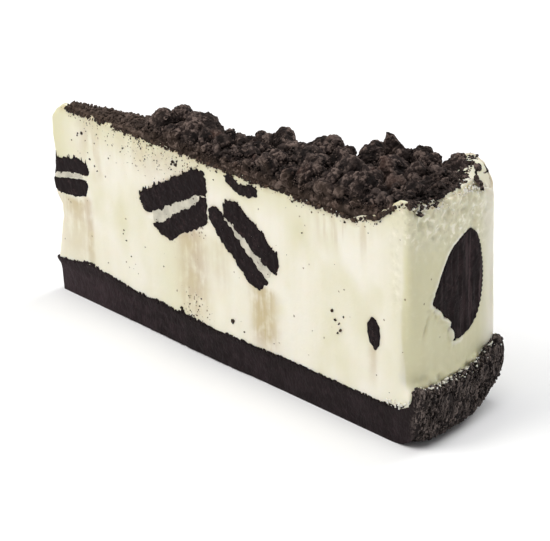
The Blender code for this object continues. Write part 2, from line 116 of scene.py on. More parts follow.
soft_light("window", -39.0, 40.0, 1.2, 0.7, 8.5, (1.0, 0.985, 0.96))
soft_light("ceiling", 60.0, 80.0, 1.4, 1.2, 11.5, (1.0, 1.0, 1.0))
soft_light("behind", 168.0, 32.0, 1.2, 0.6, 5.6, (1.0, 1.0, 1.0))
room = bpy.data.worlds.new("room")
bpy.context.scene.world = room
room.use_nodes = True
room_shader = room.node_tree.nodes["Background"]
room_shader.inputs["Color"].default_value = (0.97, 0.98, 1.0, 1)
room_shader.inputs["Strength"].default_value = 0.30


# Cream cheese filling.
# The real one is a soft set cheese mass, chilled and cut with a long knife in one downward pull.
# One closed surface: its outline is walked round once and drawn in over the top and the bottom.
axis_x = -66.165
half_angle = math.radians(6.6)
nose_radius = 0.9
nose_centre = nose_radius / math.sin(half_angle)
cut_start = nose_centre * math.cos(half_angle)
filling_radius = 122.0
filling_level = 46.7


def corner_chance(x, y, z, seed):
    """A repeatable random number from 0 to 1 for every whole-number corner: its three numbers are
    multiplied by large odd numbers, added and scrambled by shifts."""
    h = x.astype(np.int64) * 374761393 + y.astype(np.int64) * 668265263
    h = (h + z.astype(np.int64) * 974634777 + seed * 362437) & 0xFFFFFFFF
    h = ((h ^ (h >> 13)) * 1274126177) & 0xFFFFFFFF
    h = h ^ (h >> 16)
    h = ((h * 2246822519) & 0xFFFFFFFF) ^ (h >> 11)
    return (h & 0xFFFFFF) / float(0xFFFFFF)


def soft_noise(points, size, seed):
    """Smooth noise from -1 to 1: random values at the corners of boxes of the given size in mm,
    blended inside each box with an S-shaped weight."""
    p = points / np.asarray(size, float)
    cell = np.floor(p)
    t = p - cell
    t = t * t * (3 - 2 * t)
    total = np.zeros(p.shape[:-1])
    for dx in (0, 1):
        for dy in (0, 1):
            for dz in (0, 1):
                weight = ((t[..., 0] if dx else 1 - t[..., 0])
                          * (t[..., 1] if dy else 1 - t[..., 1])
                          * (t[..., 2] if dz else 1 - t[..., 2]))
                chance = corner_chance(cell[..., 0] + dx, cell[..., 1] + dy, cell[..., 2] + dz, seed)
                total += weight * chance
    return total * 2 - 1


def layered_noise(points, size, seed, layers=3):
    """Several soft noises added up, each half the size and half the strength of the last."""
    total = np.zeros(points.shape[:-1])
    size = np.asarray(size, float)
    for layer in range(layers):
        total += soft_noise(points, size / 2 ** layer, seed + 17 * layer) / 2 ** layer
    return total


def crumb_noise(points, size, seed):
    """Rounded grains from 0 in the gaps to 1 on the crowns: one minus the distance to the nearest
    of the random points that stand one in each box."""
    p = points / np.asarray(size, float)
    cell = np.floor(p)
    nearest = np.full(p.shape[:-1], 9.0)
    for dx in (-1, 0, 1):
        for dy in (-1, 0, 1):
            for dz in (-1, 0, 1):
                at = cell + (dx, dy, dz)
                away = np.zeros(p.shape[:-1])
                for k in range(3):
                    spot = at[..., k] + corner_chance(at[..., 0], at[..., 1], at[..., 2], seed + 5 * k)
                    away += (p[..., k] - spot) ** 2
                nearest = np.minimum(nearest, away)
    return 1 - np.clip(np.sqrt(nearest), 0, 1)


def slice_outline(radius, corner, spacing):
    """The slice seen from above, once round: along the near cut from nose to rim, round the rim,
    back along the far cut and round the nose. Gives outline, spine points, reach and side. The
    spine is the line that the top and bottom are drawn in to; it ends well before the rim."""
    spine_end = radius - 14.0
    bend = math.asin(corner / (radius - corner))
    stop = (radius - corner) * math.cos(bend)
    reach = np.arange(cut_start, stop, spacing)
    near = np.stack([reach * math.cos(half_angle), -reach * math.sin(half_angle)], 1)
    turns = np.linspace(-half_angle - math.pi / 2, bend - half_angle, 7)
    middle = (radius - corner) * np.array([math.cos(bend - half_angle), math.sin(bend - half_angle)])
    near_corner = middle + corner * np.stack([np.cos(turns), np.sin(turns)], 1)
    sweep = half_angle - bend
    steps = int(2 * sweep * radius / spacing * 0.8)
    rim_turns = np.linspace(-sweep, sweep, steps + 1)[1:-1]
    rim = radius * np.stack([np.cos(rim_turns), np.sin(rim_turns)], 1)
    far_corner = near_corner[::-1] * (1, -1)
    far = near[::-1] * (1, -1)
    nose_turns = np.linspace(math.pi / 2 + half_angle, 1.5 * math.pi - half_angle, 14)[1:-1]
    nose = np.stack([nose_centre + nose_radius * np.cos(nose_turns),
                     nose_radius * np.sin(nose_turns)], 1)
    parts = (near, near_corner, rim, far_corner, far, nose)
    outline = np.concatenate(parts)
    side = np.concatenate([np.full(len(p), s) for p, s in zip(parts, (-1, -1, 0, 1, 1, 0))])
    spine = np.zeros_like(outline)
    spine[:, 0] = np.clip(np.hypot(*outline.T) * math.cos(half_angle), cut_start + 0.6, spine_end)
    rim_part = slice(len(near), len(near) + len(near_corner) * 2 + len(rim))
    spine[rim_part, 0] = spine_end
    return outline, spine, np.hypot(*outline.T), side


def along_and_across(flat):
    """Reach from the cake's axis, and the place across the slice from -1 at the near cut to 1 at
    the far one."""
    across = np.arctan2(flat[..., 1], flat[..., 0]) / half_angle
    return np.hypot(flat[..., 0], flat[..., 1]), np.clip(across, -1, 1)


def eased(value, low, high):
    """A share that rises from 0 at the low value to 1 at the high one with soft ends."""
    t = np.clip((value - low) / (high - low), 0, 1)
    return t * t * (3 - 2 * t)


def portion(value, length):
    """A value as a share of a length, kept between 0 and 1."""
    return np.clip(value / length, 0, 1)


def fading(distance, length):
    """A share that falls from 1 at no distance to 0 at a length."""
    return np.clip(1 - distance / length, 0, 1)


def bell(value, middle, width):
    """A share that is 1 at the middle and falls off on both sides in a bell curve."""
    return np.exp(-((value - middle) / width) ** 2)


def strongest(*shares):
    """The largest of several shares at every point."""
    return np.maximum.reduce(np.broadcast_arrays(*shares))


def slice_rows(outline, spine, low_of, top_of, bottom, wall, rings, edge):
    """The closed surface over rows and columns: rows lead from the spine out along the bottom, up
    the wall, round the top edge as a quarter circle, and in over the top to the spine again."""
    inward = spine - outline
    length = np.hypot(*inward.T)
    inward = inward / length[:, None]
    low = low_of(*along_and_across(outline))
    top = top_of(*along_and_across(outline))
    offsets = [length * share for share in bottom]
    heights = []
    for offset in offsets:
        heights.append(low_of(*along_and_across(outline + inward * offset[:, None])))
    for share in wall:
        offsets.append(np.zeros(len(length)))
        heights.append(low + (top - edge - low) * share)
    for turn in np.radians((22.5, 45.0, 67.5, 90.0)):
        offsets.append(np.full(len(length), edge * (1 - math.cos(turn))))
        heights.append(top - edge + edge * math.sin(turn))
    for share in rings:
        offset = edge + (length - edge) * share
        offsets.append(offset)
        heights.append(top_of(*along_and_across(outline + inward * offset[:, None])))
    flat = outline[None] + inward[None] * np.array(offsets)[..., None]
    return np.concatenate([flat, np.array(heights)[..., None]], 2)


def wall_masks(shape, side, bottom, rings):
    """Masks that are 1 on the wall, on its near cut and on its far cut, and 0 elsewhere. The wall
    is every row between those of the bottom and those of the top."""
    is_wall = np.zeros(shape)
    is_wall[len(bottom):-len(rings)] = 1.0
    return is_wall, (side == -1) * is_wall, (side == 1) * is_wall


def nose_lean(reach):
    """The share of the nose's lean that a point takes: all at the nose, none 16 mm behind it."""
    return fading(reach - 7.5, 16.0) ** 1.5


def outward(surface):
    """The outward direction at every point: across the columns times up the rows."""
    across = np.roll(surface, -1, 1) - np.roll(surface, 1, 1)
    along = np.gradient(surface, axis=0)
    square = np.cross(across, along)
    size = np.linalg.norm(square, axis=2, keepdims=True)
    return square / np.maximum(size, 1e-9)


def in_frame(points):
    """Points in mm from the cake's axis, as the frame has them, in metres."""
    return (points + (axis_x, 0, 0)) * 0.001


def keep_marks(mesh, marks):
    """Keep named numbers on a mesh's points, each an array or one number for all of them."""
    for mark, values in marks.items():
        layer = mesh.attributes.new(mark, "FLOAT", "POINT")
        values = np.broadcast_to(np.ravel(values), len(mesh.vertices))
        layer.data.foreach_set("value", values.astype(np.float32))


def wrapped_mesh(name, surface, marks=None):
    """A mesh from a grid of points in mm whose columns close into a ring and whose end rows meet
    in themselves; marks are named numbers kept on the points."""
    rows, columns = surface.shape[:2]
    mesh = bpy.data.meshes.new(name)
    row, column = np.meshgrid(np.arange(rows - 1), np.arange(columns), indexing="ij")
    here = row * columns + column
    beside = row * columns + (column + 1) % columns
    quads = np.stack([here, beside, beside + columns, here + columns], 2).reshape(-1, 4)
    mesh.from_pydata(in_frame(surface.reshape(-1, 3)).tolist(), [], quads.tolist())
    keep_marks(mesh, marks or {})
    solid = bmesh.new()
    solid.from_mesh(mesh)
    bmesh.ops.remove_doubles(solid, verts=solid.verts, dist=2e-7)
    solid.to_mesh(mesh)
    solid.free()
    mesh.shade_smooth()
    return mesh


def finished_piece(mesh, material, stands_for=()):
    """Put a mesh on the slice: its material, the body it rides on and the CAD solids it stands for."""
    piece = bpy.data.objects.new(mesh.name, mesh)
    bpy.context.collection.objects.link(piece)
    mesh.materials.clear()
    mesh.materials.append(material)
    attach(piece, "root")
    if stands_for:
        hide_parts(*stands_for)


def inside_depth(across, height, corners):
    """How deep each point lies inside a closed outline, negative outside it: the distance to the
    nearest side, with its sign from the number of sides that a level line crosses."""
    corners = np.asarray(corners, float)
    nearest = np.full(across.shape, 1e9)
    inside = np.zeros(across.shape, bool)
    for (ax, ay), (bx, by) in zip(corners, np.roll(corners, -1, 0)):
        dx, dy = bx - ax, by - ay
        share = np.clip(((across - ax) * dx + (height - ay) * dy) / (dx * dx + dy * dy), 0, 1)
        nearest = np.minimum(nearest, np.hypot(across - ax - share * dx, height - ay - share * dy))
        if ay != by:
            crossing = ax + (height - ay) / (by - ay) * dx
            inside ^= ((ay > height) != (by > height)) & (across < crossing)
    return np.where(inside, nearest, -nearest)


# Corners of the cookie pieces where the knife cut them, as reach from the cake's axis and height
near_cookies = {
    "middle_cookie_upper_wafer": [
        (38.6, 33.3), (38.6, 31.7), (39.8, 29.9), (40.9, 29.0), (43.0, 30.0), (46.3, 31.5),
        (50.6, 34.1), (55.2, 36.6), (58.1, 38.2), (61.3, 38.5), (61.6, 40.6), (61.0, 43.2),
        (58.6, 44.5), (54.3, 42.1), (48.7, 39.1), (42.4, 35.4)],
    "middle_cookie_cream": [
        (43.3, 29.9), (43.5, 27.9), (45.5, 28.2), (50.2, 31.1), (53.6, 33.9), (56.2, 34.9),
        (58.2, 36.7), (57.8, 37.8), (55.0, 36.6), (50.9, 34.5), (46.3, 31.4), (44.2, 30.4)],
    "middle_cookie_lower_wafer": [
        (42.8, 26.9), (45.4, 27.9), (48.0, 29.5), (50.4, 31.2), (54.0, 33.4), (56.4, 34.7),
        (58.6, 36.6), (59.3, 37.9), (61.2, 38.1), (61.5, 35.9), (61.4, 32.4), (59.8, 31.0),
        (55.9, 29.2), (52.6, 27.3), (50.4, 25.4), (49.0, 24.9), (47.2, 24.9), (44.7, 25.6)],
    "steep_cookie_lower_wafer": [
        (61.8, 34.5), (62.2, 35.9), (63.4, 37.0), (64.9, 37.0), (66.5, 36.3), (67.0, 35.3),
        (70.9, 31.8), (73.3, 29.7), (77.3, 26.5), (80.1, 24.4), (78.9, 23.1), (77.4, 21.6),
        (73.9, 22.7), (69.0, 27.1), (65.9, 29.4), (63.7, 31.9)],
    "steep_cookie_cream": [
        (67.1, 34.9), (68.7, 33.9), (71.0, 31.7), (73.4, 29.8), (77.3, 26.7), (79.6, 25.6),
        (80.4, 25.9), (80.9, 26.7), (78.8, 28.5), (75.4, 31.0), (72.7, 32.8), (70.1, 34.2), (68.4, 35.0)],
    "steep_cookie_upper_wafer": [
        (68.9, 40.0), (66.9, 38.7), (66.6, 37.2), (67.3, 35.5), (69.5, 34.3), (73.2, 32.2),
        (78.7, 28.5), (81.3, 27.0), (82.8, 26.9), (83.8, 29.1), (83.4, 31.9), (80.9, 33.2),
        (79.1, 35.2), (74.7, 37.6), (71.1, 40.2)],
    "top_shard": [
        (67.9, 45.4), (68.2, 43.9), (70.5, 42.7), (73.3, 42.1), (77.3, 43.0), (77.8, 44.7),
        (75.7, 45.2), (72.0, 44.4), (69.7, 45.6)],
    "low_shard": [
        (109.9, 24.7), (109.9, 22.6), (110.6, 20.7), (111.9, 19.4), (112.9, 20.6), (113.3, 22.8),
        (113.1, 24.9), (112.1, 26.3), (110.9, 26.4)],
}
far_cookies = {
    "far_cookie_upper_wafer": [
        (86.2, 27.3), (87.6, 24.6), (96.0, 26.4), (105.8, 30.4), (107.5, 33.0), (104.8, 35.3),
        (96.0, 31.8)],
    "far_cookie_cream": [
        (88.0, 24.3), (88.6, 22.2), (97.5, 23.9), (106.2, 27.8), (106.0, 30.1), (96.6, 26.1)],
    "far_cookie_lower_wafer": [
        (88.9, 21.8), (89.6, 18.2), (93.0, 16.9), (101.0, 18.9), (108.6, 22.8), (108.8, 26.2),
        (106.4, 27.5), (97.8, 23.5)],
    "far_wafer_bar": [
        (30.5, 20.6), (32.4, 17.0), (35.8, 17.4), (44.6, 23.4), (46.0, 26.6), (43.4, 28.6),
        (36.0, 24.6)],
    "far_shard": [
        (60.2, 37.2), (61.5, 34.6), (65.4, 33.8), (69.0, 35.9), (68.4, 38.8), (63.8, 39.6)],
}
tip_upper = [(2.0, 29.6), (13.0, 31.4), (20.4, 31.7), (21.0, 33.0), (20.2, 34.6), (16.5, 35.5),
             (11.5, 34.1), (2.0, 33.2)]
tip_cream = [(2.0, 27.8), (13.5, 30.2), (19.3, 31.1), (19.3, 31.3), (13.2, 31.0), (2.0, 29.3)]
tip_lower = [(2.0, 25.4), (10.2, 25.0), (15.2, 25.6), (19.1, 26.4), (20.3, 29.4), (19.4, 30.8),
             (13.8, 29.8), (2.0, 27.2)]


def cut_bulge(reach, height):
    """How far the near cut stands out in mm: the knife left it a little full over the crust. Two
    humps, each a bell curve along the cut times one up it."""
    over_crust = 0.95 * bell(reach, 61, 15) * bell(height, 8, 7)
    foot = 0.4 * bell(reach, 52, 26) * bell(height, 0, 5)
    return over_crust + foot


def bulges(near, far, reach, height):
    """The bulge of both cuts: in full on the near one, and less of it on the far one."""
    return near * cut_bulge(reach, height) + far * 0.4 * cut_bulge(reach, height)


def nose_shift(height):
    """How far the nose leans out or back along the slice in mm, read off a line at each height."""
    return np.interp(height, (0.0, 5.0, 8.0, 12.0, 16.0, 19.0, 22.0, 24.5, 28.0, 31.0, 35.0, 39.0,
                              43.4, 45.4, 46.7),
                     (0.0, 0.3, 0.0, 0.9, 1.6, 2.4, 2.3, 0.7, 0.3, 1.2, 1.3, 0.8, 1.0, 2.6, 4.6))


def filling_top(reach, across):
    """Height of the filling: level, then up to the wall of the tin. It stands highest at the far
    corner of the rim and falls away there in a round shoulder."""
    near = np.interp(reach, (107.0, 109.3, 113.0, 116.0, 119.5, 121.5, 122.0),
                     (filling_level, 47.7, 48.9, 51.0, 53.5, 53.8, 53.4))
    middle = np.interp(reach, (109.0, 113.0, 117.0, 119.5, 121.5, 122.0),
                       (filling_level, 49.3, 51.8, 52.6, 52.4, 51.6))
    far = np.interp(reach, (108.0, 111.0, 113.5, 117.6, 119.8, 121.0, 122.0),
                    (filling_level, 50.5, 54.0, 54.6, 53.4, 51.5, 48.8))
    top = middle + (near - middle) * eased(-across, 0.5, 0.95)
    return top + (far - middle) * eased(across, 0.4, 0.95)


def over_tip(reach):
    """How much higher the crust and the seam over it stand near the tip, in mm."""
    return 1.5 * bell(reach, 20.0, 8.0)


def filling_low(reach, across):
    """Height of the filling's underside, the same all across: level, with a hump near the tip, and
    drawn up at the rim where the crust's lip begins."""
    rise = np.interp(reach, (117.0, 119.4, 121.2, 121.8, 122.0), (8.0, 8.6, 9.6, 10.4, 11.6))
    return rise + over_tip(reach)


outline, spine, reach, side = slice_outline(filling_radius, corner=1.1, spacing=0.35)
bottom = (1.0, 0.75, 0.5, 0.3, 0.15, 0.05)
rings = (0.02, 0.05, 0.09, 0.13, 0.18, 0.24, 0.32, 0.42, 0.55, 0.7, 0.85, 1.0)
plain = slice_rows(outline, spine, filling_low, filling_top, bottom=bottom,
                   wall=np.linspace(0, 1, 104), rings=rings, edge=0.45)
top_edge = np.broadcast_to(filling_top(*along_and_across(outline)), plain.shape[:2])
is_wall, near, far = wall_masks(plain.shape[:2], side, bottom, rings)
rim = (side == 0) * (reach > 60) * is_wall
nose = (side == 0) * (reach < 30) * is_wall
reach = np.broadcast_to(reach, plain.shape[:2])
height = plain[..., 2]
sideways = plain[..., 1]

# The wall all round: broad dents, upright drag lines, pores, and a ragged edge under the topping
push = bulges(near, far, reach, height)
push += is_wall * 0.10 * layered_noise(plain, 13.0, 3)
push += is_wall * 0.05 * soft_noise(plain, (2.2, 2.2, 26.0), 5)
push += is_wall * 0.035 * layered_noise(plain, 1.6, 9, 2)
ragged = portion(height - (top_edge - 2.6), 2.6) * is_wall
push += ragged * 0.38 * layered_noise(plain, 2.3, 21, 3)

# The rim: rough and holed towards its top, ribbed all the way down and rough again at its foot
rough = portion(height - 37.0, 9.0) * rim
push += rough * (0.32 * layered_noise(plain, 3.0, 31, 3) - 0.40 * crumb_noise(plain, 2.6, 33) ** 3)
push += rough * rough * 0.45 * layered_noise(plain, 1.4, 35, 2)
push += rim * 0.10 * soft_noise(plain, (1.5, 1.5, 22.0), 41)
foot_rough = fading(height - 13.0, 3.5) * rim
push += foot_rough * (0.35 + 0.6 * layered_noise(plain, 1.5, 43, 3))

# Every cookie piece lies in a hollow; round the cream it is a little wider than the outline
for cookies, cut in ((near_cookies, near), (far_cookies, far)):
    for node, corners in cookies.items():
        wider = 0.45 if node.endswith("cream") else 0.0
        depth = inside_depth(reach, height, corners) + wider
        push -= cut * 1.2 * portion(depth - 0.15, 0.5)
for corners in (tip_upper, tip_cream, tip_lower):
    depth = inside_depth(reach, height, corners)
    push -= is_wall * (reach < 30) * 0.55 * portion(depth - 0.1, 0.4)

# The one wafer that lies flat in the rim, as distance from the middle of the slice and height
rim_wafer = [(6.1, 42.3), (7.1, 41.2), (7.9, 39.8), (8.6, 37.6), (9.2, 34.2), (9.35, 31.1), (9.1, 28.2),
             (8.6, 25.8), (7.8, 23.8), (6.7, 22.1), (5.3, 21.0), (3.7, 20.3), (1.9, 19.9), (0.3, 19.7),
             (-0.9, 19.8), (-1.1, 21.4), (-1.4, 23.3), (-2.2, 24.9), (-3.8, 26.6), (-5.7, 28.6),
             (-7.5, 30.5),
             (-6.3, 33.3), (-5.2, 35.4), (-4.1, 37.2), (-3.0, 38.7), (-2.1, 40.0), (-0.9, 41.0),
             (0.7, 41.7), (2.6, 42.3), (4.9, 42.9)]

# The far corner swells. The wafer lies in a hollow, the filling laps over its broken side and is
# torn below it, and a crack runs down beside it.
push += is_wall * 0.4 * bell(sideways, 14.0, 3.5) * eased(reach, 106.0, 118.0)
push += rim * 0.3 * soft_noise(plain, 9.0, 44) * eased(sideways, 6.0, 12.0)
depth_in_rim = inside_depth(sideways, height, rim_wafer)
push -= rim * 1.3 * portion(depth_in_rim - 0.1, 0.5)
broken_side = portion(2.0 - sideways, 4)
lapped = bell(depth_in_rim, -0.55, 0.45) * broken_side
torn = bell(depth_in_rim, -0.9, 0.9) * (broken_side * portion(34.0 - height, 4))
torn = torn * layered_noise(plain, 1.1, 45, 3)
push += rim * (0.30 * lapped + 0.9 * torn)
from_crack = np.abs(sideways + 9.6 - 0.42 * (height - 25.6))
push -= rim * 0.8 * (bell(from_crack, 0, 0.28) * bell(height, 26.2, 2.2))
body = plain + outward(plain) * push[..., None]

# The near corner is rounded, more of it further down, and full again at its foot
from_corner = np.hypot(plain[..., 0] - 121.2, plain[..., 1] + 14.0)
rounded = 0.5 + 1.0 * eased(36.0 - height, 0.0, 9.0) + 0.5 * eased(26.0 - height, 0.0, 6.0)
rounded = bell(from_corner, 0, 2.4) * rounded * eased(height, 11.0, 15.0) * is_wall
body[..., 0] -= 0.62 * rounded
body[..., 1] += 0.78 * rounded

# The nose leans as the knife left it, the top is uneven, and towards the rim a ridge stands along
# the near cut
body[..., 0] += nose_lean(reach) * nose_shift(height)
body[..., 2] += (1 - is_wall) * (height > 40) * 0.3 * layered_noise(plain, 2.8, 51, 3)
from_axis, across = along_and_across(plain)
from_near = from_axis * np.sin((across + 1) * half_angle)
ridge = bell(from_near, 0, 0.7) * eased(reach, 101.0, 106.0) * (height > top_edge - 0.7)
body[..., 2] += ridge * (0.65 + 0.5 * layered_noise(plain, 2.5, 52, 2))
sideways = body[..., 1]


def smeared_down(reach, height, left, right, top, bottom, lean=0.0):
    """A smear that the knife drew down from a cookie: a band that fades at its sides and ends."""
    middle = (left + right) / 2 + lean * (top - height)
    band = np.exp(-(np.abs(reach - middle) / ((right - left) / 2)) ** 3)
    return band * portion(top - height, 1.5) * np.clip((height - bottom) / 6.0 + 0.35, 0, 1)


def round_spot(reach, height, middle, width):
    """A share that is 1 at a place on the cut and falls off round it in a bell curve."""
    return np.exp(-(((reach - middle[0]) / width[0]) ** 2 + ((height - middle[1]) / width[1]) ** 2))


# Smears under the cookies of the near cut: left, right, top, bottom, lean and strength
near_smears = [
    (18.0, 21.0, 27.0, 9.0, 0.0, 0.8), (50.5, 60.5, 30.5, 9.0, 0.05, 0.85),
    (55.5, 58.5, 30.5, 8.0, 0.02, 0.9), (74.5, 82.5, 23.5, 8.0, 0.03, 1.1),
    (62.0, 68.0, 30.0, 18.0, 0.0, 0.35), (109.8, 112.5, 20.5, 12.0, 0.0, 0.5)]
far_smears = [(88.0, 104.0, 18.5, 8.0, 0.0, 0.5), (32.0, 42.0, 18.5, 8.0, 0.0, 0.6)]
uneven = np.clip(0.6 + layered_noise(plain, (2.2, 2.2, 9.0), 58, 3), 0, 1)
runs = np.clip(1.6 * layered_noise(plain, (0.9, 0.9, 12.0), 59, 2), 0, 1)
runs = runs * np.exp(-((reach - 103) / 9) ** 4)
stain = near * strongest(
    smeared_down(reach, height, 8.0, 20.5, 25.6, 9.0) * (0.45 + 0.5 * portion(height - 17, 7)),
    0.52 * uneven * (portion(height - 34.0, 9.0) * bell(reach, 42, 16)),
    0.5 * near * bell(reach, 22, 5) * eased(height, 30.0, 34.0) * uneven,
    0.62 * runs * eased(height, 35.0, 46.0),
    *[strength * smeared_down(reach, height, *smear) for *smear, strength in near_smears])
stain += far * strongest(
    *[strength * smeared_down(reach, height, *smear) for *smear, strength in far_smears])
round_cookie = np.zeros(plain.shape[:2])
for cookies, cut in ((near_cookies, near), (far_cookies, far)):
    for corners in cookies.values():
        outside = np.maximum(-inside_depth(reach, height, corners), 0)
        round_cookie = np.maximum(round_cookie, cut * np.exp(-outside / 0.55))
stain = np.clip(stain + 0.5 * round_cookie, 0, 1)
top_line = fading(top_edge - height, 1.9) * is_wall * np.clip(
    0.75 + 0.5 * layered_noise(plain, (1.1, 1.1, 2.5), 55, 2), 0, 1)
stain = np.maximum(stain, 0.9 * top_line * (near + far + 0.6 * rim))

# Fine crumbs in the near cut: under the heap, below the middle cookies, at the tip and by the rim.
# The spot just under the lower edge of the middle cookie's lower wafer is painted shadow, drawn
# with the same dark specks. Each spot is its middle, its widths along and up the cut, and its strength.
dust_and_shadow_spots = [((56, 12.5), (5, 3), 0.50), ((101, 22), (3, 4), 0.30), ((57.5, 29.2), (3.6, 1.4), 0.7),
              ((14.0, 24.6), (6.0, 1.0), 0.5)]
dust_and_shadow = near * strongest(
    0.45 * bell(reach, 42, 13) * portion(height - 36.5, 8.0),
    0.75 * fading(top_edge - height, 2.2),
    0.25 * bell(reach, 91, 2) * eased(height, 36.0, 42.0),
    *[strength * round_spot(reach, height, middle, width) for middle, width, strength in dust_and_shadow_spots])
dust_and_shadow += far * 0.5 * fading(46.9 - height, 3.0)
on_rim = rim * 0.7 * fading(top_edge - height, 2.0) * (sideways < 8)
dust_and_shadow = strongest(dust_and_shadow, on_rim, 0.012 * is_wall)

# The outer skin: yellower and darker where the filling touched the tin, round the near corner and on the
# inside of the far one, but not where it laps over the wafer in the rim. It is partly the baked
# skin's own tone and partly painted shade, the yellow cast of the shaded rim and rounded corner.
skin_and_painted_shade = portion(from_axis - 120.6, 0.9) * (1 - near)
# Towards the far corner most of the skin is left off, which paints the far edge of the rim paler: painted
# light.
skin_and_painted_shade *= 1 - 0.9 * eased(sideways, 7.0, 12.5)
round_from = np.interp(height, (12.0, 17.0, 23.5, 29.7, 35.5), (120.6, 120.3, 119.3, 119.4, 120.2))
round_width = np.interp(height, (17.0, 29.0), (0.45, 0.85))
near_corner = eased(reach, round_from - round_width, round_from + round_width)
near_corner *= eased(height, 12.0, 14.5)
far_corner = eased(reach, 112.5, 115.5) * eased(sideways, 5.0, 9.0) * (height > 46)
skin_and_painted_shade = strongest(skin_and_painted_shade, near * near_corner, 0.8 * far_corner * (1 - is_wall))
skin_and_painted_shade *= 1 - 0.9 * bell(depth_in_rim, -0.45, 0.4) * (sideways < 2)
lowest = 42.0 - 7.0 * eased(sideways, -9.0, 4.0)
corner_strip = near * bell(reach, 118.2, 1.7) * eased(height, 26.0, 34.0)
mottle = skin_and_painted_shade * np.clip((height - lowest) / 6.0, 0.08, 1) * is_wall
mottle = np.maximum(mottle, 0.42 * corner_strip)
skin_and_painted_shade *= 1 - 0.3 * eased(height, 38.0, 48.0)

# Buttery tint: on the nose, towards the top, in clouds, near the rim and between the cookies
butter = strongest(
    bell(reach, 7, 9) * np.clip((height - 20) / 14, 0.3, 1),
    0.75 * portion(height - 39, 7) * portion(118 - reach, 30),
    0.75 * np.clip(layered_noise(plain, (9.0, 9.0, 13.0), 57, 3) * 0.8 + 0.1, 0, 1),
    0.35 * bell(reach, 118, 3.5),
    0.6 * bell(reach, 50, 9) * (height < 28))
skin_and_painted_shade = strongest(skin_and_painted_shade, 0.25 * corner_strip, butter * (near + far + nose))
marks = {"stain": stain, "dust_and_shadow": dust_and_shadow, "skin_and_painted_shade": skin_and_painted_shade, "mottle": mottle}
filling_mesh = wrapped_mesh("cream_filling", body, marks)


def new_group(name, inputs, outputs):
    """A shader node group with named inputs and outputs."""
    group = bpy.data.node_groups.new(name, "ShaderNodeTree")
    for title, kind, value in inputs:
        socket = group.interface.new_socket(title, in_out="INPUT", socket_type=kind)
        if value is not None:
            socket.default_value = value
    for title, kind in outputs:
        group.interface.new_socket(title, in_out="OUTPUT", socket_type=kind)
    entry = group.nodes.new("NodeGroupInput")
    leave = group.nodes.new("NodeGroupOutput")
    return group, entry, leave


def new_node(tree, kind, settings=None, inputs=None):
    """A node with its settings, and its input sockets either set or joined to other sockets."""
    node = tree.nodes.new(kind)
    for key, value in (settings or {}).items():
        setattr(node, key, value)
    for key, value in (inputs or {}).items():
        if isinstance(value, bpy.types.NodeSocket):
            tree.links.new(value, node.inputs[key])
        else:
            node.inputs[key].default_value = value
    return node


def colour_mix(tree, share, first, second):
    """A blend of two colours by a share."""
    node = new_node(tree, "ShaderNodeMix", {"data_type": "RGBA"})
    for socket, value in ((node.inputs[0], share), (node.inputs[6], first), (node.inputs[7], second)):
        if isinstance(value, bpy.types.NodeSocket):
            tree.links.new(value, socket)
        else:
            socket.default_value = value
    return node.outputs[2]


def ramp(tree, value, low, high):
    """A share that rises from 0 at the low value to 1 at the high one with soft ends."""
    node = new_node(tree, "ShaderNodeMapRange", {"interpolation_type": "SMOOTHSTEP"},
                    {0: value, 1: low, 2: high})
    return node.outputs[0]


def calculated(tree, operation, *values):
    """The result of one sum on sockets or numbers."""
    return new_node(tree, "ShaderNodeMath", {"operation": operation}, dict(enumerate(values))).outputs[0]


def times(tree, first, second):
    """The product of two shares."""
    return calculated(tree, "MULTIPLY", first, second)


def tinted(tree, colour, share, strength, tint):
    """A colour drawn towards a tint by a share at a strength."""
    return colour_mix(tree, times(tree, share, strength), colour, tint)


def noise_node(tree, place, scale, detail=2.0):
    """Smooth noise with this many waves to the metre."""
    return new_node(tree, "ShaderNodeTexNoise", None, {"Vector": place, "Scale": scale, "Detail": detail})


def noise_share(tree, place, scale, detail):
    """Smooth noise as a share that lies about one half."""
    return noise_node(tree, place, scale, detail).outputs["Fac"]


def streak_share(tree, place, scales, detail):
    """Noise drawn out into streaks: its waves to the metre along x, y and z."""
    drawn = new_node(tree, "ShaderNodeMapping", None, {"Vector": place, "Scale": scales})
    return noise_share(tree, drawn.outputs[0], 1.0, detail)


def point_mark(tree, name):
    """The number that the piece's points keep under a name."""
    return new_node(tree, "ShaderNodeAttribute", {"attribute_name": name}).outputs["Fac"]


def finish_surface(tree, shader, colour, relief=None, strength=0.0, distance=0.0):
    """Give the shader its colour, and a bump from a relief, which is distance metres deep."""
    tree.links.new(colour, shader.inputs["Base Color"])
    if relief is not None:
        bump = new_node(tree, "ShaderNodeBump", None,
                        {"Strength": strength, "Distance": distance, "Height": relief})
        tree.links.new(bump.outputs[0], shader.inputs["Normal"])


def new_material(name, roughness):
    """A material with its shader and a node that gives the places on the piece."""
    material = bpy.data.materials.new(name)
    material.use_nodes = True
    tree = material.node_tree
    shader = tree.nodes["Principled BSDF"]
    shader.inputs["Roughness"].default_value = roughness
    where = tree.nodes.new("ShaderNodeTexCoord").outputs["Object"]
    return material, tree, shader, where


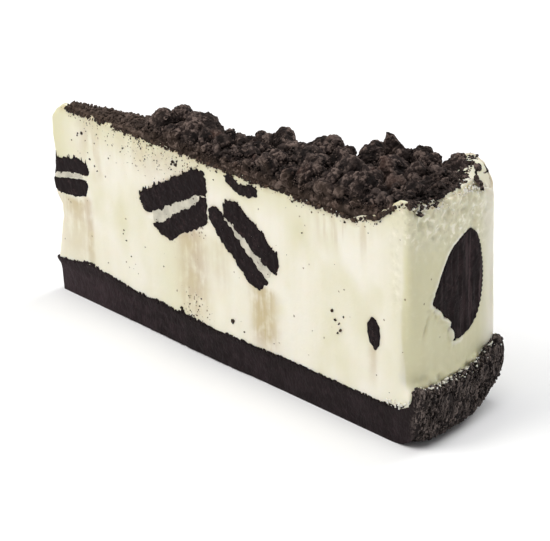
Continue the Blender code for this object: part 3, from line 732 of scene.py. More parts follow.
# Fine crumbs strewn through a surface: every small cell holds one speck or none
strewn, entry, leave = new_group(
    "strewn_crumbs",
    [("Place", "NodeSocketVector", None), ("Cells per metre", "NodeSocketFloat", 900.0),
     ("Share with crumbs", "NodeSocketFloat", 0.1), ("Crumb size", "NodeSocketFloat", 0.3)],
    [("Crumbs", "NodeSocketFloat")])
bent = noise_node(strewn, entry.outputs["Place"], 1400.0)
shift = new_node(strewn, "ShaderNodeVectorMath", {"operation": "MULTIPLY_ADD"},
                 {0: bent.outputs["Color"], 1: (0.0007, 0.0007, 0.0007), 2: entry.outputs["Place"]})
cells = new_node(strewn, "ShaderNodeTexVoronoi", None,
                 {"Vector": shift.outputs[0], "Scale": entry.outputs["Cells per metre"]})
draw = new_node(strewn, "ShaderNodeSeparateColor", None, {"Color": cells.outputs["Color"]})
chosen = calculated(strewn, "LESS_THAN", draw.outputs[0], entry.outputs["Share with crumbs"])
wide = calculated(strewn, "MULTIPLY_ADD", draw.outputs[1], 0.25, entry.outputs["Crumb size"])
spread = calculated(strewn, "SUBTRACT", wide, cells.outputs["Distance"])
strewn.links.new(times(strewn, ramp(strewn, spread, -0.02, 0.08), chosen), leave.inputs[0])


def strewn_share(tree, place, cells, share, size):
    """Where the strewn crumbs lie: cells to the metre, the share of them filled, and crumb size."""
    return new_node(tree, "ShaderNodeGroup", {"node_tree": strewn},
                    {"Place": place, "Cells per metre": cells, "Share with crumbs": share,
                     "Crumb size": size}).outputs[0]


# Ivory with faint upright bands and clouds, then the outer skin with its painted shade, its mottle, the
# smears and crumbs, among them a patch of painted shadow
cream_cheese, tree, shader, where = new_material("cream_cheese", 0.42)
clouds = noise_share(tree, where, 90.0, 4.0)
bands = streak_share(tree, where, (260.0, 260.0, 14.0), 3.0)
ivory = colour_mix(tree, ramp(tree, bands, 0.35, 0.7), (0.81, 0.773, 0.655, 1), (0.775, 0.737, 0.59, 1))
ivory = colour_mix(tree, ramp(tree, clouds, 0.35, 0.72), ivory, (0.825, 0.79, 0.685, 1))
# The outer skin colour is partly the baked skin's tone and partly painted shade, the yellow cast of the
# shaded rim.
ivory = tinted(tree, ivory, point_mark(tree, "skin_and_painted_shade"), 0.95, (0.655, 0.622, 0.398, 1))
mottle_mark = point_mark(tree, "mottle")
spots = noise_share(tree, where, 720.0, 3.0)
dark_spot = times(tree, mottle_mark, ramp(tree, spots, 0.50, 0.66))
pale_spot = times(tree, mottle_mark, ramp(tree, spots, 0.46, 0.34))
ivory = tinted(tree, ivory, dark_spot, 0.75, (0.57, 0.535, 0.37, 1))
ivory = tinted(tree, ivory, pale_spot, 0.9, (0.93, 0.89, 0.74, 1))
streaks = streak_share(tree, where, (900.0, 900.0, 90.0), 4.0)
blotches = times(tree, noise_share(tree, where, 330.0, 5.0), 0.6)
smear = ramp(tree, calculated(tree, "MULTIPLY_ADD", streaks, 0.5, blotches), 0.28, 0.62)
smear = times(tree, point_mark(tree, "stain"), smear)
warm = colour_mix(tree, ramp(tree, clouds, 0.42, 0.58), (0.54, 0.445, 0.26, 1), (0.52, 0.42, 0.28, 1))
ivory = colour_mix(tree, smear, ivory, warm)
# Dark specks where the dust mark is high; in the spot under the middle cookie's lower wafer they are
# painted shadow.
fine = strewn_share(tree, where, 1250.0, point_mark(tree, "dust_and_shadow"), 0.16)
ivory = tinted(tree, ivory, fine, 0.75, (0.17, 0.11, 0.06, 1))
finish_surface(tree, shader, ivory, noise_share(tree, where, 1500.0, 3.0), 0.25, 0.0002)
gloss = new_node(tree, "ShaderNodeMapRange", None,
                 {0: noise_share(tree, where, 500.0, 3.0), 3: 0.36, 4: 0.56})
tree.links.new(gloss.outputs[0], shader.inputs["Roughness"])
shader.inputs["Subsurface Weight"].default_value = 0.25
shader.inputs["Subsurface Radius"].default_value = (1.0, 0.7, 0.35)
shader.inputs["Subsurface Scale"].default_value = 0.002
finished_piece(filling_mesh, cream_cheese, ["cream_cheese_filling"])


# Crumb crust.
# The real one is crushed chocolate cookies bound with butter, pressed into the tin and a little way
# up its wall. The knife leaves its cut face close and smooth; the outside keeps the coarse crumbs.
crust_radius = 125.0
crust_level = 7.9


def crust_top(reach, across):
    """Height of the crust: a level base and a lip at the rim, highest at its two ends."""
    lip = 12.6 + 1.7 * eased(-across, 0.7, 1.0) + 3.0 * eased(across, 0.25, 1.0)
    rise = np.interp(reach, (117.0, 119.4, 121.9, 122.3, 122.9, 123.9, 124.7, 125.0),
                     (0.0, 0.12, 0.44, 0.85, 1.0, 0.98, 0.8, 0.66))
    return crust_level + over_tip(reach) + (lip - crust_level) * rise


def crust_foot(across):
    """Radius of the rounded foot at the rim: larger at both ends, most of all at the far one."""
    return 5.2 + 3.6 * eased(-across, 0.66, 1.0) + 7.6 * np.clip(across, 0, 1) ** 2


def crust_low(reach, across):
    """Height of the crust's underside: flat on the table, and rounded up at the rim's foot."""
    foot = crust_foot(across)
    inside = np.clip(reach - (crust_radius - foot), 0, foot)
    return foot - np.sqrt(np.maximum(foot ** 2 - inside ** 2, 0))


outline, spine, reach, side = slice_outline(crust_radius, corner=0.7, spacing=0.32)
rings = np.array([0.02, 0.04, 0.06, 0.085, 0.11, 0.135, 0.16, 0.18, 0.2, 0.22, 0.25, 0.29, 0.34,
                  0.4, 0.48, 0.6, 0.8, 1.0])
bottom = (1.0, 0.8, 0.66, 0.56, 0.48, 0.41, 0.35, 0.29, 0.24, 0.19, 0.145, 0.105, 0.07, 0.04, 0.02)
plain = slice_rows(outline, spine, crust_low, crust_top, bottom=bottom,
                   wall=np.linspace(0, 1, 34), rings=rings, edge=0.3)
is_wall, near, far = wall_masks(plain.shape[:2], side, bottom, rings)
reach = np.broadcast_to(reach, plain.shape[:2])
height = plain[..., 2]
radius = np.hypot(plain[..., 0], plain[..., 1])

# Where the crust is coarse: on the outside and round the rim's foot, and hardly on the two cuts
low_rim = portion(radius - 114.0, 3.0) * portion(height, 0.5) * (height < 8)
coarse = np.maximum(portion(radius - 121.8, 1.2), low_rim) * (1 - 0.75 * far)
coarse *= 1 - near * (1 - 0.8 * eased(reach, 121.0, 123.5))

# The cuts have shallow waves with crumbs torn out; the outside has coarse crumbs that lean over
push = bulges(near, far, reach, height)
push += (near + far) * (0.10 * layered_noise(plain, 1.3, 61, 3) + 0.10 * layered_noise(plain, 9.0, 62, 2))
push -= (near + far) * 0.22 * crumb_noise(plain, 2.2, 64) ** 4
slanted = plain + height[..., None] * (0.0, 0.5, 0.0)
push += coarse * (0.45 * crumb_noise(slanted, (1.8, 1.2, 2.8), 65) - 0.6)
push += coarse * 0.30 * layered_noise(slanted, (1.0, 0.6, 2.6), 66, 3)
push += coarse * 0.25 * soft_noise(plain, 6.0, 67)
push *= height >= 0.05
way = outward(plain)
way[..., 2] *= portion(height, 1.5)
body = plain + way * push[..., None]
on_lip = portion(radius - 121.0, 1.5) * portion(height - 9.0, 3.0)
body[..., 2] += on_lip * (0.55 * layered_noise(body, 2.4, 71, 2))
foot_shift = np.interp(height, (0.0, 5.2, 6.4, 7.4, 9.0), (0.7, 0.5, 0.2, -0.8, -1.1))
body[..., 0] += nose_lean(reach) * foot_shift
body[..., 2] = np.maximum(body[..., 2], 0.0)
crust_mesh = wrapped_mesh("crumb_crust_body", body, {"coarse": coarse})

# Crumb surface: cells of dark and lighter crumb over one another, with a height for the bump
crumb_skin, entry, leave = new_group(
    "crumb_skin",
    [("Place", "NodeSocketVector", None), ("Cells per metre", "NodeSocketFloat", 700.0),
     ("Dark", "NodeSocketColor", (0.01, 0.007, 0.006, 1)),
     ("Light", "NodeSocketColor", (0.05, 0.035, 0.03, 1)),
     ("Share light", "NodeSocketFloat", 0.4)],
    [("Colour", "NodeSocketColor"), ("Height", "NodeSocketFloat")])
place = entry.outputs["Place"]
grains = new_node(crumb_skin, "ShaderNodeTexVoronoi", None,
                  {"Vector": place, "Scale": entry.outputs["Cells per metre"]})
draw = new_node(crumb_skin, "ShaderNodeSeparateColor", None, {"Color": grains.outputs["Color"]})
speckle = noise_share(crumb_skin, place, 1900.0, 5.0)
patch = noise_share(crumb_skin, place, 260.0, 3.0)
chance = calculated(crumb_skin, "MULTIPLY_ADD", draw.outputs[0], 0.45, speckle)
chance = calculated(crumb_skin, "MULTIPLY_ADD", patch, 0.35, chance)
limit = new_node(crumb_skin, "ShaderNodeMapRange", None,
                 {0: entry.outputs["Share light"], 1: 0.0, 2: 1.0, 3: 1.38, 4: 0.48})
excess = calculated(crumb_skin, "SUBTRACT", chance, limit.outputs[0])
skin_colour = colour_mix(crumb_skin, ramp(crumb_skin, excess, -0.15, 0.3), entry.outputs["Dark"],
                         entry.outputs["Light"])
relief = calculated(crumb_skin, "MULTIPLY_ADD", grains.outputs["Distance"], -0.7, speckle)
crumb_skin.links.new(skin_colour, leave.inputs[0])
crumb_skin.links.new(relief, leave.inputs[1])


def crumbly(tree, place, cells, light_share, dark, light):
    """A crumb surface's colour and relief: cells to the metre, the share of light crumb, and the
    two colours."""
    skin = new_node(tree, "ShaderNodeGroup", {"node_tree": crumb_skin},
                    {"Place": place, "Cells per metre": cells, "Share light": light_share,
                     "Dark": dark, "Light": light})
    return skin.outputs[0], skin.outputs[1]


# The cut face is palest near the tip, darker over the half by the rim and darkest along its top
crust_crumb, tree, shader, where = new_material("crust_crumb", 0.7)
direction = new_node(tree, "ShaderNodeSeparateXYZ", None, {0: where})
cut_face = crumbly(tree, where, 900.0, 0.28, (0.0095, 0.0047, 0.0056, 1), (0.031, 0.0165, 0.0195, 1))[0]
for share, strength, tint in (
        (ramp(tree, noise_share(tree, where, 130.0, 4.0), 0.48, 0.66), 0.3, (0.044, 0.027, 0.032, 1)),
        (ramp(tree, noise_share(tree, where, 480.0, 3.0), 0.50, 0.62), 0.3, (0.046, 0.029, 0.034, 1)),
        (ramp(tree, direction.outputs[0], -0.018, -0.056), 0.5, (0.044, 0.028, 0.032, 1)),
        (ramp(tree, direction.outputs[0], -0.028, -0.004), 0.48, (0.012, 0.0072, 0.0078, 1)),
        (ramp(tree, direction.outputs[2], 0.0056, 0.0076), 0.6, (0.011, 0.0065, 0.0065, 1))):
    cut_face = tinted(tree, cut_face, share, strength, tint)
stretched = new_node(tree, "ShaderNodeMapping", {"vector_type": "TEXTURE"},
                     {"Vector": where, "Rotation": (-0.36, 0.0, 0.0), "Scale": (0.6, 0.3, 2.4)})
rim_skin, rim_relief = crumbly(tree, stretched.outputs[0], 1000.0, 0.5, (0.0105, 0.007, 0.0065, 1),
                               (0.185, 0.148, 0.132, 1))
finish_surface(tree, shader, colour_mix(tree, point_mark(tree, "coarse"), cut_face, rim_skin),
               rim_relief, 0.6, 0.0003)
shader.inputs["Specular IOR Level"].default_value = 0.14
finished_piece(crust_mesh, crust_crumb, ["crumb_crust"])


def ball(level):
    """Corner directions and faces of a ball of near-even triangles."""
    solid = bmesh.new()
    bmesh.ops.create_icosphere(solid, subdivisions=level, radius=1.0)
    corners = np.array([v.co[:] for v in solid.verts])
    faces = np.array([[v.index for v in f.verts] for f in solid.faces])
    solid.free()
    return corners, faces


def random_turns(rng, count):
    """Evenly spread random rotations, from four random numbers each made a unit quaternion."""
    q = rng.normal(size=(count, 4))
    q /= np.linalg.norm(q, axis=1, keepdims=True)
    w, x, y, z = q.T
    return np.stack([
        np.stack([1 - 2 * (y * y + z * z), 2 * (x * y - z * w), 2 * (x * z + y * w)], 1),
        np.stack([2 * (x * y + z * w), 1 - 2 * (x * x + z * z), 2 * (y * z - x * w)], 1),
        np.stack([2 * (x * z - y * w), 2 * (y * z + x * w), 1 - 2 * (x * x + y * y)], 1)], 1)


def crumb_mesh(name, level, places, sizes, rng, lumps=0.25, grain=0.10, grain_size=0.8, broken=0.6,
               flat=0.85, even=False, marks=None):
    """Many crumbs as one mesh. Each is a ball cut by random planes, which give it broken facets,
    with broad dents and fine grains, flattened, turned at random and set at its place. The marks
    kept on the points are the crown, low in the dents, by which the topping's material paints
    shade into the dents, and a tint for each crumb."""
    directions, faces = ball(level)
    count = len(places)
    sizes = np.asarray(sizes, float)
    planes = rng.normal(size=(count, 11, 3))
    planes /= np.linalg.norm(planes, axis=2, keepdims=True)
    distance = rng.uniform(0.62, 0.98, (count, 1, 11))
    facing = np.einsum("dk,npk->ndp", directions, planes)
    facets = np.minimum((distance / np.maximum(facing, 0.05)).min(2), 1.3)
    own = rng.uniform(-500, 500, (count, 1, 3))
    swell = (1 - broken) + broken * facets
    swell = swell + lumps * soft_noise(directions[None] + own, 0.95, 81)
    swell = swell + lumps * (crumb_noise(directions[None] + own, 0.7, 82) - 0.5)
    if grain:
        real = directions[None] * (sizes / 2)[:, None, None] + own
        swell = swell + grain * (crumb_noise(real, grain_size, 85) - 0.45) * 2
        swell = swell + grain * 0.7 * layered_noise(real, grain_size * 0.5, 86, 2)
    crown_shading = np.clip(0.55 + (swell - swell.mean(1, keepdims=True)) * 2.2, 0, 1)
    tint = np.broadcast_to(rng.uniform(0, 1, (count, 1)), crown_shading.shape)
    stretch = rng.uniform(0.9, 1.1, (count, 1, 3)) if even else rng.uniform(0.7, 1.3, (count, 1, 3))
    stretch[..., 2] *= flat
    shapes = directions[None] * swell[..., None] * stretch * (sizes / 2)[:, None, None]
    shapes = np.einsum("nij,nkj->nki", random_turns(rng, count), shapes)
    links = faces[None] + (np.arange(count) * len(directions))[:, None, None]
    mesh = bpy.data.meshes.new(name)
    mesh.from_pydata(in_frame(shapes + places[:, None]).reshape(-1, 3).tolist(), [],
                     links.reshape(-1, 3).tolist())
    keep_marks(mesh, {"crown_shading": crown_shading, "tint": tint, **(marks or {})})
    if level > 3:
        mesh.shade_smooth()
    return mesh


def round_axis(radius, across, height):
    """Places at a radius from the cake's axis, across the slice from -1 to 1, and at a height."""
    turn = across * half_angle
    return np.stack([radius * np.cos(turn), radius * np.sin(turn), height], 1)


# Coarse crumbs on the outside of the crust
rng = np.random.default_rng(7)
count = 1100
across = rng.uniform(-0.97, 0.97, count)
sizes = rng.uniform(0.35, 1.1, count) * rng.uniform(0.6, 1.0, count)
height = 1.2 + rng.uniform(0, 1, count) * (crust_top(123.0, across) - 1.6)
foot = crust_foot(across)
radius = crust_radius - foot + np.sqrt(np.maximum(foot ** 2 - np.clip(foot - height, 0, foot) ** 2, 0))
radius = radius - np.clip((height - 12.0) * 0.8, 0, 2) - 0.35
mesh = crumb_mesh("crust_rim_grit", 2, round_axis(radius, across, height), sizes, rng, lumps=0.3,
                  grain=0, marks={"coarse": 1.0})
finished_piece(mesh, crust_crumb)

# Crumbs along the top of the crust's lip
count = 260
across = rng.uniform(-0.98, 0.98, count)
radius = rng.uniform(122.2, 124.6, count)
sizes = rng.uniform(0.5, 1.5, count)
height = crust_top(radius, across) - 0.1 * sizes
mesh = crumb_mesh("crust_lip_crumbs", 2, round_axis(radius, across, height), sizes, rng, lumps=0.3,
                  grain=0, marks={"coarse": 1.0})
finished_piece(mesh, crust_crumb)


def face_point(reach, height, out, which):
    """Places on a cut face from reach and height, moved straight out of it; which is -1 for the
    near face and 1 for the far one."""
    x = reach * math.cos(half_angle) - out * math.sin(half_angle)
    y = which * (reach * math.sin(half_angle) + out * math.cos(half_angle))
    return np.stack([x, y, height], -1)


# The ragged seam on both cuts, where crumbs of the crust stand up into the filling
count = 900
which = np.where(rng.uniform(0, 1, count) < 0.5, -1.0, 1.0)
reach = rng.uniform(9.0, 120.0, count)
sizes = rng.uniform(0.3, 1.0, count)
line = np.stack([reach, 5 * which, np.zeros(count)], 1)
height = crust_top(reach, which) + 0.15 + 0.35 * layered_noise(line, 4.0, 91, 2)
out = bulges(which < 0, which > 0, reach, height) - 0.1
places = face_point(reach, height, out, which)

# A small heap of crumbs that filled a notch in the near cut
count = 14
notch = rng.normal(0, 1, (count, 2)) * (0.3, 0.5) + (52.3, 9.0)
notch_places = np.stack([notch[:, 0] * math.cos(half_angle), -notch[:, 0] * math.sin(half_angle) - 0.7,
                         notch[:, 1]], 1)
places = np.concatenate([places, notch_places])
sizes = np.concatenate([sizes, rng.uniform(0.4, 0.8, count)])
mesh = crumb_mesh("crust_seam_crumbs", 2, places, sizes, rng, lumps=0.3, grain=0, marks={"coarse": 0.0})
finished_piece(mesh, crust_crumb)

# Flecks of the filling that were dragged over the lip and stuck there, most of them along its edge
count = 420
across = rng.uniform(-0.92, 0.97, count)
drawn_out = rng.uniform(0, 1, count) ** 4
radius = 121.9 + 2.6 * drawn_out
sizes = rng.uniform(0.35, 1.25, count) * (1 - 0.65 * drawn_out)
height = crust_top(radius, across) + 0.35 - 2.0 * rng.uniform(0, 1, count) ** 8
mesh = crumb_mesh("lip_smears", 2, round_axis(radius, across, height), sizes, rng, lumps=0.4, grain=0,
                  broken=0.3, flat=0.5)
finished_piece(mesh, cream_cheese)


# Sandwich cookie pieces in the cut faces.
# The real ones are broken chocolate sandwich cookies, stirred into the filling before it set and
# cut through by the knife: dark close-grained wafers, with a pale stiff sugar cream between them.
edge_round = 0.3
edge_depth = 0.25


def even_outline(corners, spacing):
    """Points spaced evenly round a closed outline whose corners are rounded by a short average."""
    corners = np.asarray(corners, float)
    closed = np.vstack([corners, corners[:1]])
    run = np.concatenate([[0], np.cumsum(np.hypot(*np.diff(closed, axis=0).T))])
    count = int(run[-1] / spacing)
    at = np.linspace(0, run[-1], count, endpoint=False)
    points = np.stack([np.interp(at, run, closed[:, 0]), np.interp(at, run, closed[:, 1])], 1)
    for _ in range(2):
        points = (points * 2 + np.roll(points, 1, 0) + np.roll(points, -1, 0)) / 4
    return points


def splinters(flat, seed):
    """A row of narrow points from 0 to 1 along the first number: they stand where a soft noise
    crosses nothing, and a second noise sets how tall each is."""
    crossing = np.abs(soft_noise(flat * (1, 0, 1), 0.8, seed + 4))
    tall = 0.55 + 0.45 * soft_noise(flat * (1, 0, 1), 1.1, seed + 5)
    return np.clip(1 - 2.6 * crossing, 0, 1) * tall


def turned_outline(loop, way):
    """The outline, walked round counter-clockwise for 1 and clockwise for -1, with the direction
    straight out of it at every point."""
    area = np.sum(loop[:, 0] * np.roll(loop[:, 1], -1) - loop[:, 1] * np.roll(loop[:, 0], -1))
    if area * way < 0:
        loop = loop[::-1]
    tangent = np.roll(loop, -1, 0) - np.roll(loop, 1, 0)
    tangent /= np.hypot(*tangent.T)[:, None]
    return loop, np.stack([tangent[:, 1], -tangent[:, 0]], 1) * way


def drawn_forward(loop, away, spine, back, proud, shares):
    """Rows of a piece of wafer and how far each stands out of the cut: from its hidden back, whose
    rows are pairs of a share drawn in and a distance out, forward to the outline, round its edge
    as a quarter circle and in over the face to its spine."""
    rows = [loop + (spine - loop) * share for share, _ in back]
    outs = [out for _, out in back]
    for angle in np.radians((0, 35, 65, 90)):
        rows.append(loop - away * edge_round * (1 - math.cos(angle)))
        outs.append(proud - edge_depth + edge_depth * math.sin(angle))
    start = loop - away * edge_round
    for share in shares:
        rows.append(start + (spine - start) * share)
        outs.append(proud)
    rows = np.array(rows)
    return rows, np.array(outs)[:, None] + np.zeros(rows.shape[:2])


def with_level(flat, level):
    """Flat points with one more number, the same for all, so that they can be a noise's place."""
    return np.concatenate([flat, np.full(flat.shape[:-1] + (1,), level)], -1)


def cookie_cut(name, corners, which, teeth, comb_height, proud, depth, seed, relief, grow):
    """A cookie piece from its cut outline: rows lead from its hidden back to the outline, forward
    to the cut and in over the cut face to a line along its middle. The comb is a row of upright
    splinters on its upper edge, where the knife came in."""
    loop, away = turned_outline(even_outline(corners, 0.14), -which)
    flat = with_level(loop, seed * 7.3)
    ragged = teeth * (layered_noise(flat, 0.85, seed, 2) + 0.3 * layered_noise(flat, 3.0, seed + 3, 1))
    loop = loop + away * (ragged[:, None] + grow)
    loop[:, 1] += comb_height * np.clip(away[:, 1] * 1.8 - 0.2, 0, 1) * (splinters(flat, seed) - 0.1)
    middle = loop.mean(0)
    spread = loop - middle
    long_way = np.linalg.svd(spread, full_matrices=False)[2][0]
    along = spread @ long_way
    width = np.abs(spread @ np.array([-long_way[1], long_way[0]])).max()
    limit = max(np.abs(along).max() - width, 0.0)
    spine = middle + np.clip(along, -limit, limit)[:, None] * long_way
    back = [(1.0, -depth), (0.5, -depth), (0.0, -depth), (0.0, -depth * 0.5), (0.0, -1.0), (0.0, -0.5)]
    shares = (0.06, 0.12, 0.2, 0.28, 0.36, 0.44, 0.52, 0.6, 0.68, 0.76, 0.84, 0.92, 1.0)
    rows, outs = drawn_forward(loop, away, spine, back, proud, shares)
    place = with_level(rows, seed * 3.1)
    rough = layered_noise(place, 1.2, seed + 5, 3) - 0.9 * crumb_noise(place, 1.5, seed + 6) ** 3
    first_rough = len(back) + 2
    outs[first_rough:] += (relief * rough)[first_rough:]
    if which < 0:
        outs = outs + cut_bulge(rows[..., 0], rows[..., 1])
    return wrapped_mesh(name, face_point(rows[..., 0], rows[..., 1], outs, which))


wafer, tree, shader, where = new_material("wafer", 0.75)
skin, relief = crumbly(tree, where, 1100.0, 0.30, (0.0085, 0.0041, 0.0046, 1), (0.036, 0.0205, 0.0215, 1))
# Where the rib mark is high, on the rim wafer, a paler colour is mixed in: a painted highlight on the
# ribs.
with_rib_highlight = colour_mix(tree, point_mark(tree, "rib_highlight"), skin, (0.058, 0.037, 0.039, 1))
finish_surface(tree, shader, with_rib_highlight, relief, 0.45, 0.0002)
shader.inputs["Specular IOR Level"].default_value = 0.14

sandwich_cream, tree, shader, where = new_material("sandwich_cream", 0.55)
haze = noise_share(tree, where, 420.0, 4.0)
pale = colour_mix(tree, ramp(tree, haze, 0.3, 0.7), (0.42, 0.395, 0.32, 1), (0.62, 0.585, 0.48, 1))
crumbs = strewn_share(tree, where, 1300.0, 0.12, 0.15)
finish_surface(tree, shader, tinted(tree, pale, crumbs, 0.6, (0.10, 0.07, 0.06, 1)), haze, 0.3, 0.0002)

# How far the splinters stand up on each piece's upper edge, in mm, where it isn't the usual 0.45
comb_heights = {"middle_cookie_upper_wafer": 1.6, "steep_cookie_upper_wafer": 1.1, "top_shard": 0.9,
                "steep_cookie_lower_wafer": 0.1, "low_shard": 0.0}
for which, cookies in ((-1, near_cookies), (1, far_cookies)):
    for order, (node, corners) in enumerate(cookies.items()):
        name = node.replace("cookie_", "") + "_cut"
        seed = 100 + order * 9 + which
        if node.endswith("cream"):
            mesh = cookie_cut(name, corners, which, teeth=0.12, comb_height=0.0, proud=0.02, depth=3.0,
                              seed=seed, relief=0.05, grow=0.5)
            finished_piece(mesh, sandwich_cream, [node])
        else:
            mesh = cookie_cut(name, corners, which, teeth=0.16 if node == "low_shard" else 0.42,
                              comb_height=comb_heights.get(node, 0.45), proud=0.16, depth=3.0,
                              seed=seed, relief=0.13, grow=0.1)
            finished_piece(mesh, wafer, [node])

nose_arc = nose_radius * (math.pi / 2 - half_angle)


def nose_wrap(run):
    """Place and outward direction on the slice's outline at a run from the middle of the nose in
    mm, negative on the near side: along a straight cut beyond the nose's arc, round it within."""
    turn = np.clip(run / nose_radius, -(math.pi / 2 - half_angle), math.pi / 2 - half_angle)
    out = np.stack([-np.cos(turn), np.sin(turn)], -1)
    place = np.array([nose_centre, 0.0]) + nose_radius * out
    beyond = np.abs(run) - nose_arc
    straight = np.clip(beyond, 0, None)[..., None] * np.stack(
        [np.full(run.shape, math.cos(half_angle)), np.sign(run) * math.sin(half_angle)], -1)
    return place + straight, out


def tip_band(name, low, high, proud, teeth, comb_height, seed, relief):
    """A cookie piece that shows on both cuts and round the nose: its section, a rounded rectangle,
    is carried round the nose from the far cut to the near one, and closes at both ends."""
    longest = max(p[0] for p in low + high) - cut_start + nose_arc
    run = np.linspace(-longest, longest, 260)
    reach = np.abs(run) - nose_arc + cut_start
    hidden = 0.6
    low = np.asarray(low, float)
    high = np.asarray(high, float)
    bottom = np.interp(reach, low[:, 0], low[:, 1])
    top = np.interp(reach, high[:, 0], high[:, 1])
    close = np.sqrt(np.clip(1 - (np.abs(run) / longest) ** 14, 0, 1))
    angle = np.linspace(0, 2 * math.pi, 72, endpoint=False)
    across = np.sign(np.cos(angle)) * np.abs(np.cos(angle)) ** 0.45
    lift = np.sign(np.sin(angle)) * np.abs(np.sin(angle)) ** 0.45
    place, out = nose_wrap(run)
    half = np.maximum(top - bottom, 0.02) / 2 * close
    middle = (top + bottom) / 2
    heights = middle[:, None] + half[:, None] * lift[None]
    level = np.full(heights.shape, seed * 1.7)
    flat = np.stack([np.broadcast_to(run[:, None], heights.shape), heights, level], 2)
    edge_rows = np.sign(lift)[None] * (np.abs(lift)[None] > 0.8)
    heights = heights + close[:, None] * teeth * edge_rows * layered_noise(flat, 0.9, seed, 2)
    comb = splinters(flat, seed)
    heights = heights + close[:, None] * comb_height * (lift[None] > 0.8) * (comb - 0.1)
    outs = (proud - hidden) / 2 + (proud + hidden) / 2 * across[None] * close[:, None]
    outs = outs + (across[None] > 0.5) * relief * layered_noise(flat, 1.1, seed + 2, 3)
    flat_place = place[:, None] + out[:, None] * outs[..., None]
    x = flat_place[..., 0] + nose_lean(reach)[:, None] * nose_shift(heights)
    grid = np.stack([x, flat_place[..., 1], heights], 2)
    grid[0] = grid[0].mean(0)
    grid[-1] = grid[-1].mean(0)
    return wrapped_mesh(name, grid)


mesh = tip_band("tip_upper_wafer_cut", [(5.0, 28.9), (9.0, 29.7), (13.0, 30.8), (20.4, 31.8)],
                [(5.0, 33.3), (11.5, 34.2), (16.5, 35.6), (20.0, 34.9), (21.0, 33.4)],
                proud=0.12, teeth=0.42, comb_height=2.3, seed=301, relief=0.10)
finished_piece(mesh, wafer, ["tip_cookie_upper_wafer"])
mesh = tip_band("tip_cream_cut", [(5.0, 28.0), (13.5, 29.8), (19.3, 31.0)],
                [(5.0, 29.5), (13.2, 31.3), (19.3, 31.7)],
                proud=0.06, teeth=0.08, comb_height=0.0, seed=311, relief=0.05)
finished_piece(mesh, sandwich_cream, ["tip_cookie_cream"])
mesh = tip_band("tip_lower_wafer_cut",
                [(5.0, 25.3), (10.2, 25.0), (15.2, 25.6), (19.1, 26.4), (20.3, 28.8)],
                [(5.0, 28.1), (9.0, 28.7), (13.8, 29.8), (19.4, 30.8), (20.3, 29.5)],
                proud=0.12, teeth=0.42, comb_height=0.3, seed=321, relief=0.10)
finished_piece(mesh, wafer, ["tip_cookie_lower_wafer"])


# Wafer in the rim.
# The real one is a single wafer that lay flat against the wall of the tin; its round side keeps
# the cookie's knurled edge, its other side is broken, and the filling laps over the break.
loop, away = turned_outline(even_outline(rim_wafer, 0.2), 1)
knurled = (loop[:, 0] > 5.8) & (loop[:, 1] < 39.0)
knurl = 0.17 * np.sin(loop[:, 1] * 2 * math.pi / 1.05)
torn = 0.20 + 0.35 * eased(-loop[:, 0], -3.5, 1.0) * eased(31.5 - loop[:, 1], 0.0, 2.0)
torn = torn * layered_noise(with_level(loop, 4.0), 0.9, 401, 3)
loop = loop + away * np.where(knurled, knurl, torn)[:, None]
middle = loop.mean(0)
spine = middle + np.clip((loop - middle)[:, 1:], -6, 6) * np.array([0.0, 1.0])
back = [(1.0, -2.8), (0.0, -2.8), (0.0, -1.2), (0.0, -0.4)]
rows, outs = drawn_forward(loop, away, spine, back, 0.0, np.linspace(0.03, 1, 30))

# Its face keeps upright ribs from the tin's wall. Paler upright stripes are painted on it as the
# lit sides of the ribs, a painted highlight; more of them lie towards its round side
flat = with_level(rows, 0.0)
on_face = np.zeros(outs.shape)
on_face[len(back) + 4:] = 1.0
ribs = 0.20 * layered_noise(flat, (1.1, 9.0, 1.0), 411, 2) + 0.07 * layered_noise(flat, 0.9, 412, 2)
pale_rib_highlight = np.clip(soft_noise(flat, (0.36, 9.0, 1.0), 413) * 1.6, 0, 1) * eased(rows[..., 0], 0.0, 5.0)
broad_rib_highlight = 0.35 * np.clip(layered_noise(flat, (1.6, 3.5, 1.0), 414, 3), 0, 1)

# The wafer bends about a third as much as the wall that it lay against
bend = 0.35
wall_x = np.sqrt(filling_radius ** 2 - rows[..., 0] ** 2) * bend + filling_radius * (1 - bend)
grid = np.stack([wall_x + 0.12 + (outs + on_face * ribs), rows[..., 0], rows[..., 1]], 2)
mesh = wrapped_mesh("rim_wafer_face", grid, {"rib_highlight": strongest(pale_rib_highlight, broad_rib_highlight) * on_face})
finished_piece(mesh, wafer, ["rim_wafer"])


# Crumb topping.
# The real one is crushed chocolate cookies heaped on the filling: rounded clumps up to a
# centimetre, small crumbs between and on them, and a thin spread of fine crumb towards the tip.
heap_reach = (11.0, 16.0, 30.0, 38.0, 44.0, 54.0, 60.0, 68.0, 76.0, 84.0, 92.0, 100.0, 108.0, 113.0,
              117.0, 120.6)
heap_depth = (0.4, 0.7, 1.0, 1.3, 2.0, 2.2, 1.6, 1.6, 2.8, 3.0, 3.6, 4.2, 4.6, 3.0, 1.3, 0.4)


def heap_end(across):
    """Where the crumbs stop before the rim: short of it at the far corner, close to it elsewhere."""
    return np.interp(across, (-1.0, -0.8, -0.35, -0.05, 0.35, 0.7, 1.0),
                     (119.0, 121.5, 121.2, 120.7, 120.4, 119.2, 117.5))


def heap_top(reach, across):
    """Height of the heap's own body: its depth along the slice, rounded off towards both cuts."""
    arch = 1 - 0.75 * np.abs(across) ** 6
    arch = arch * (1 - 0.8 * eased(across, 0.3, 0.8) * eased(reach, 109.0, 114.0))
    before_end = np.clip((heap_end(across) - reach) / 2.0, -1, 1)
    return filling_top(reach, across) + np.interp(reach, heap_reach, heap_depth) * arch * before_end


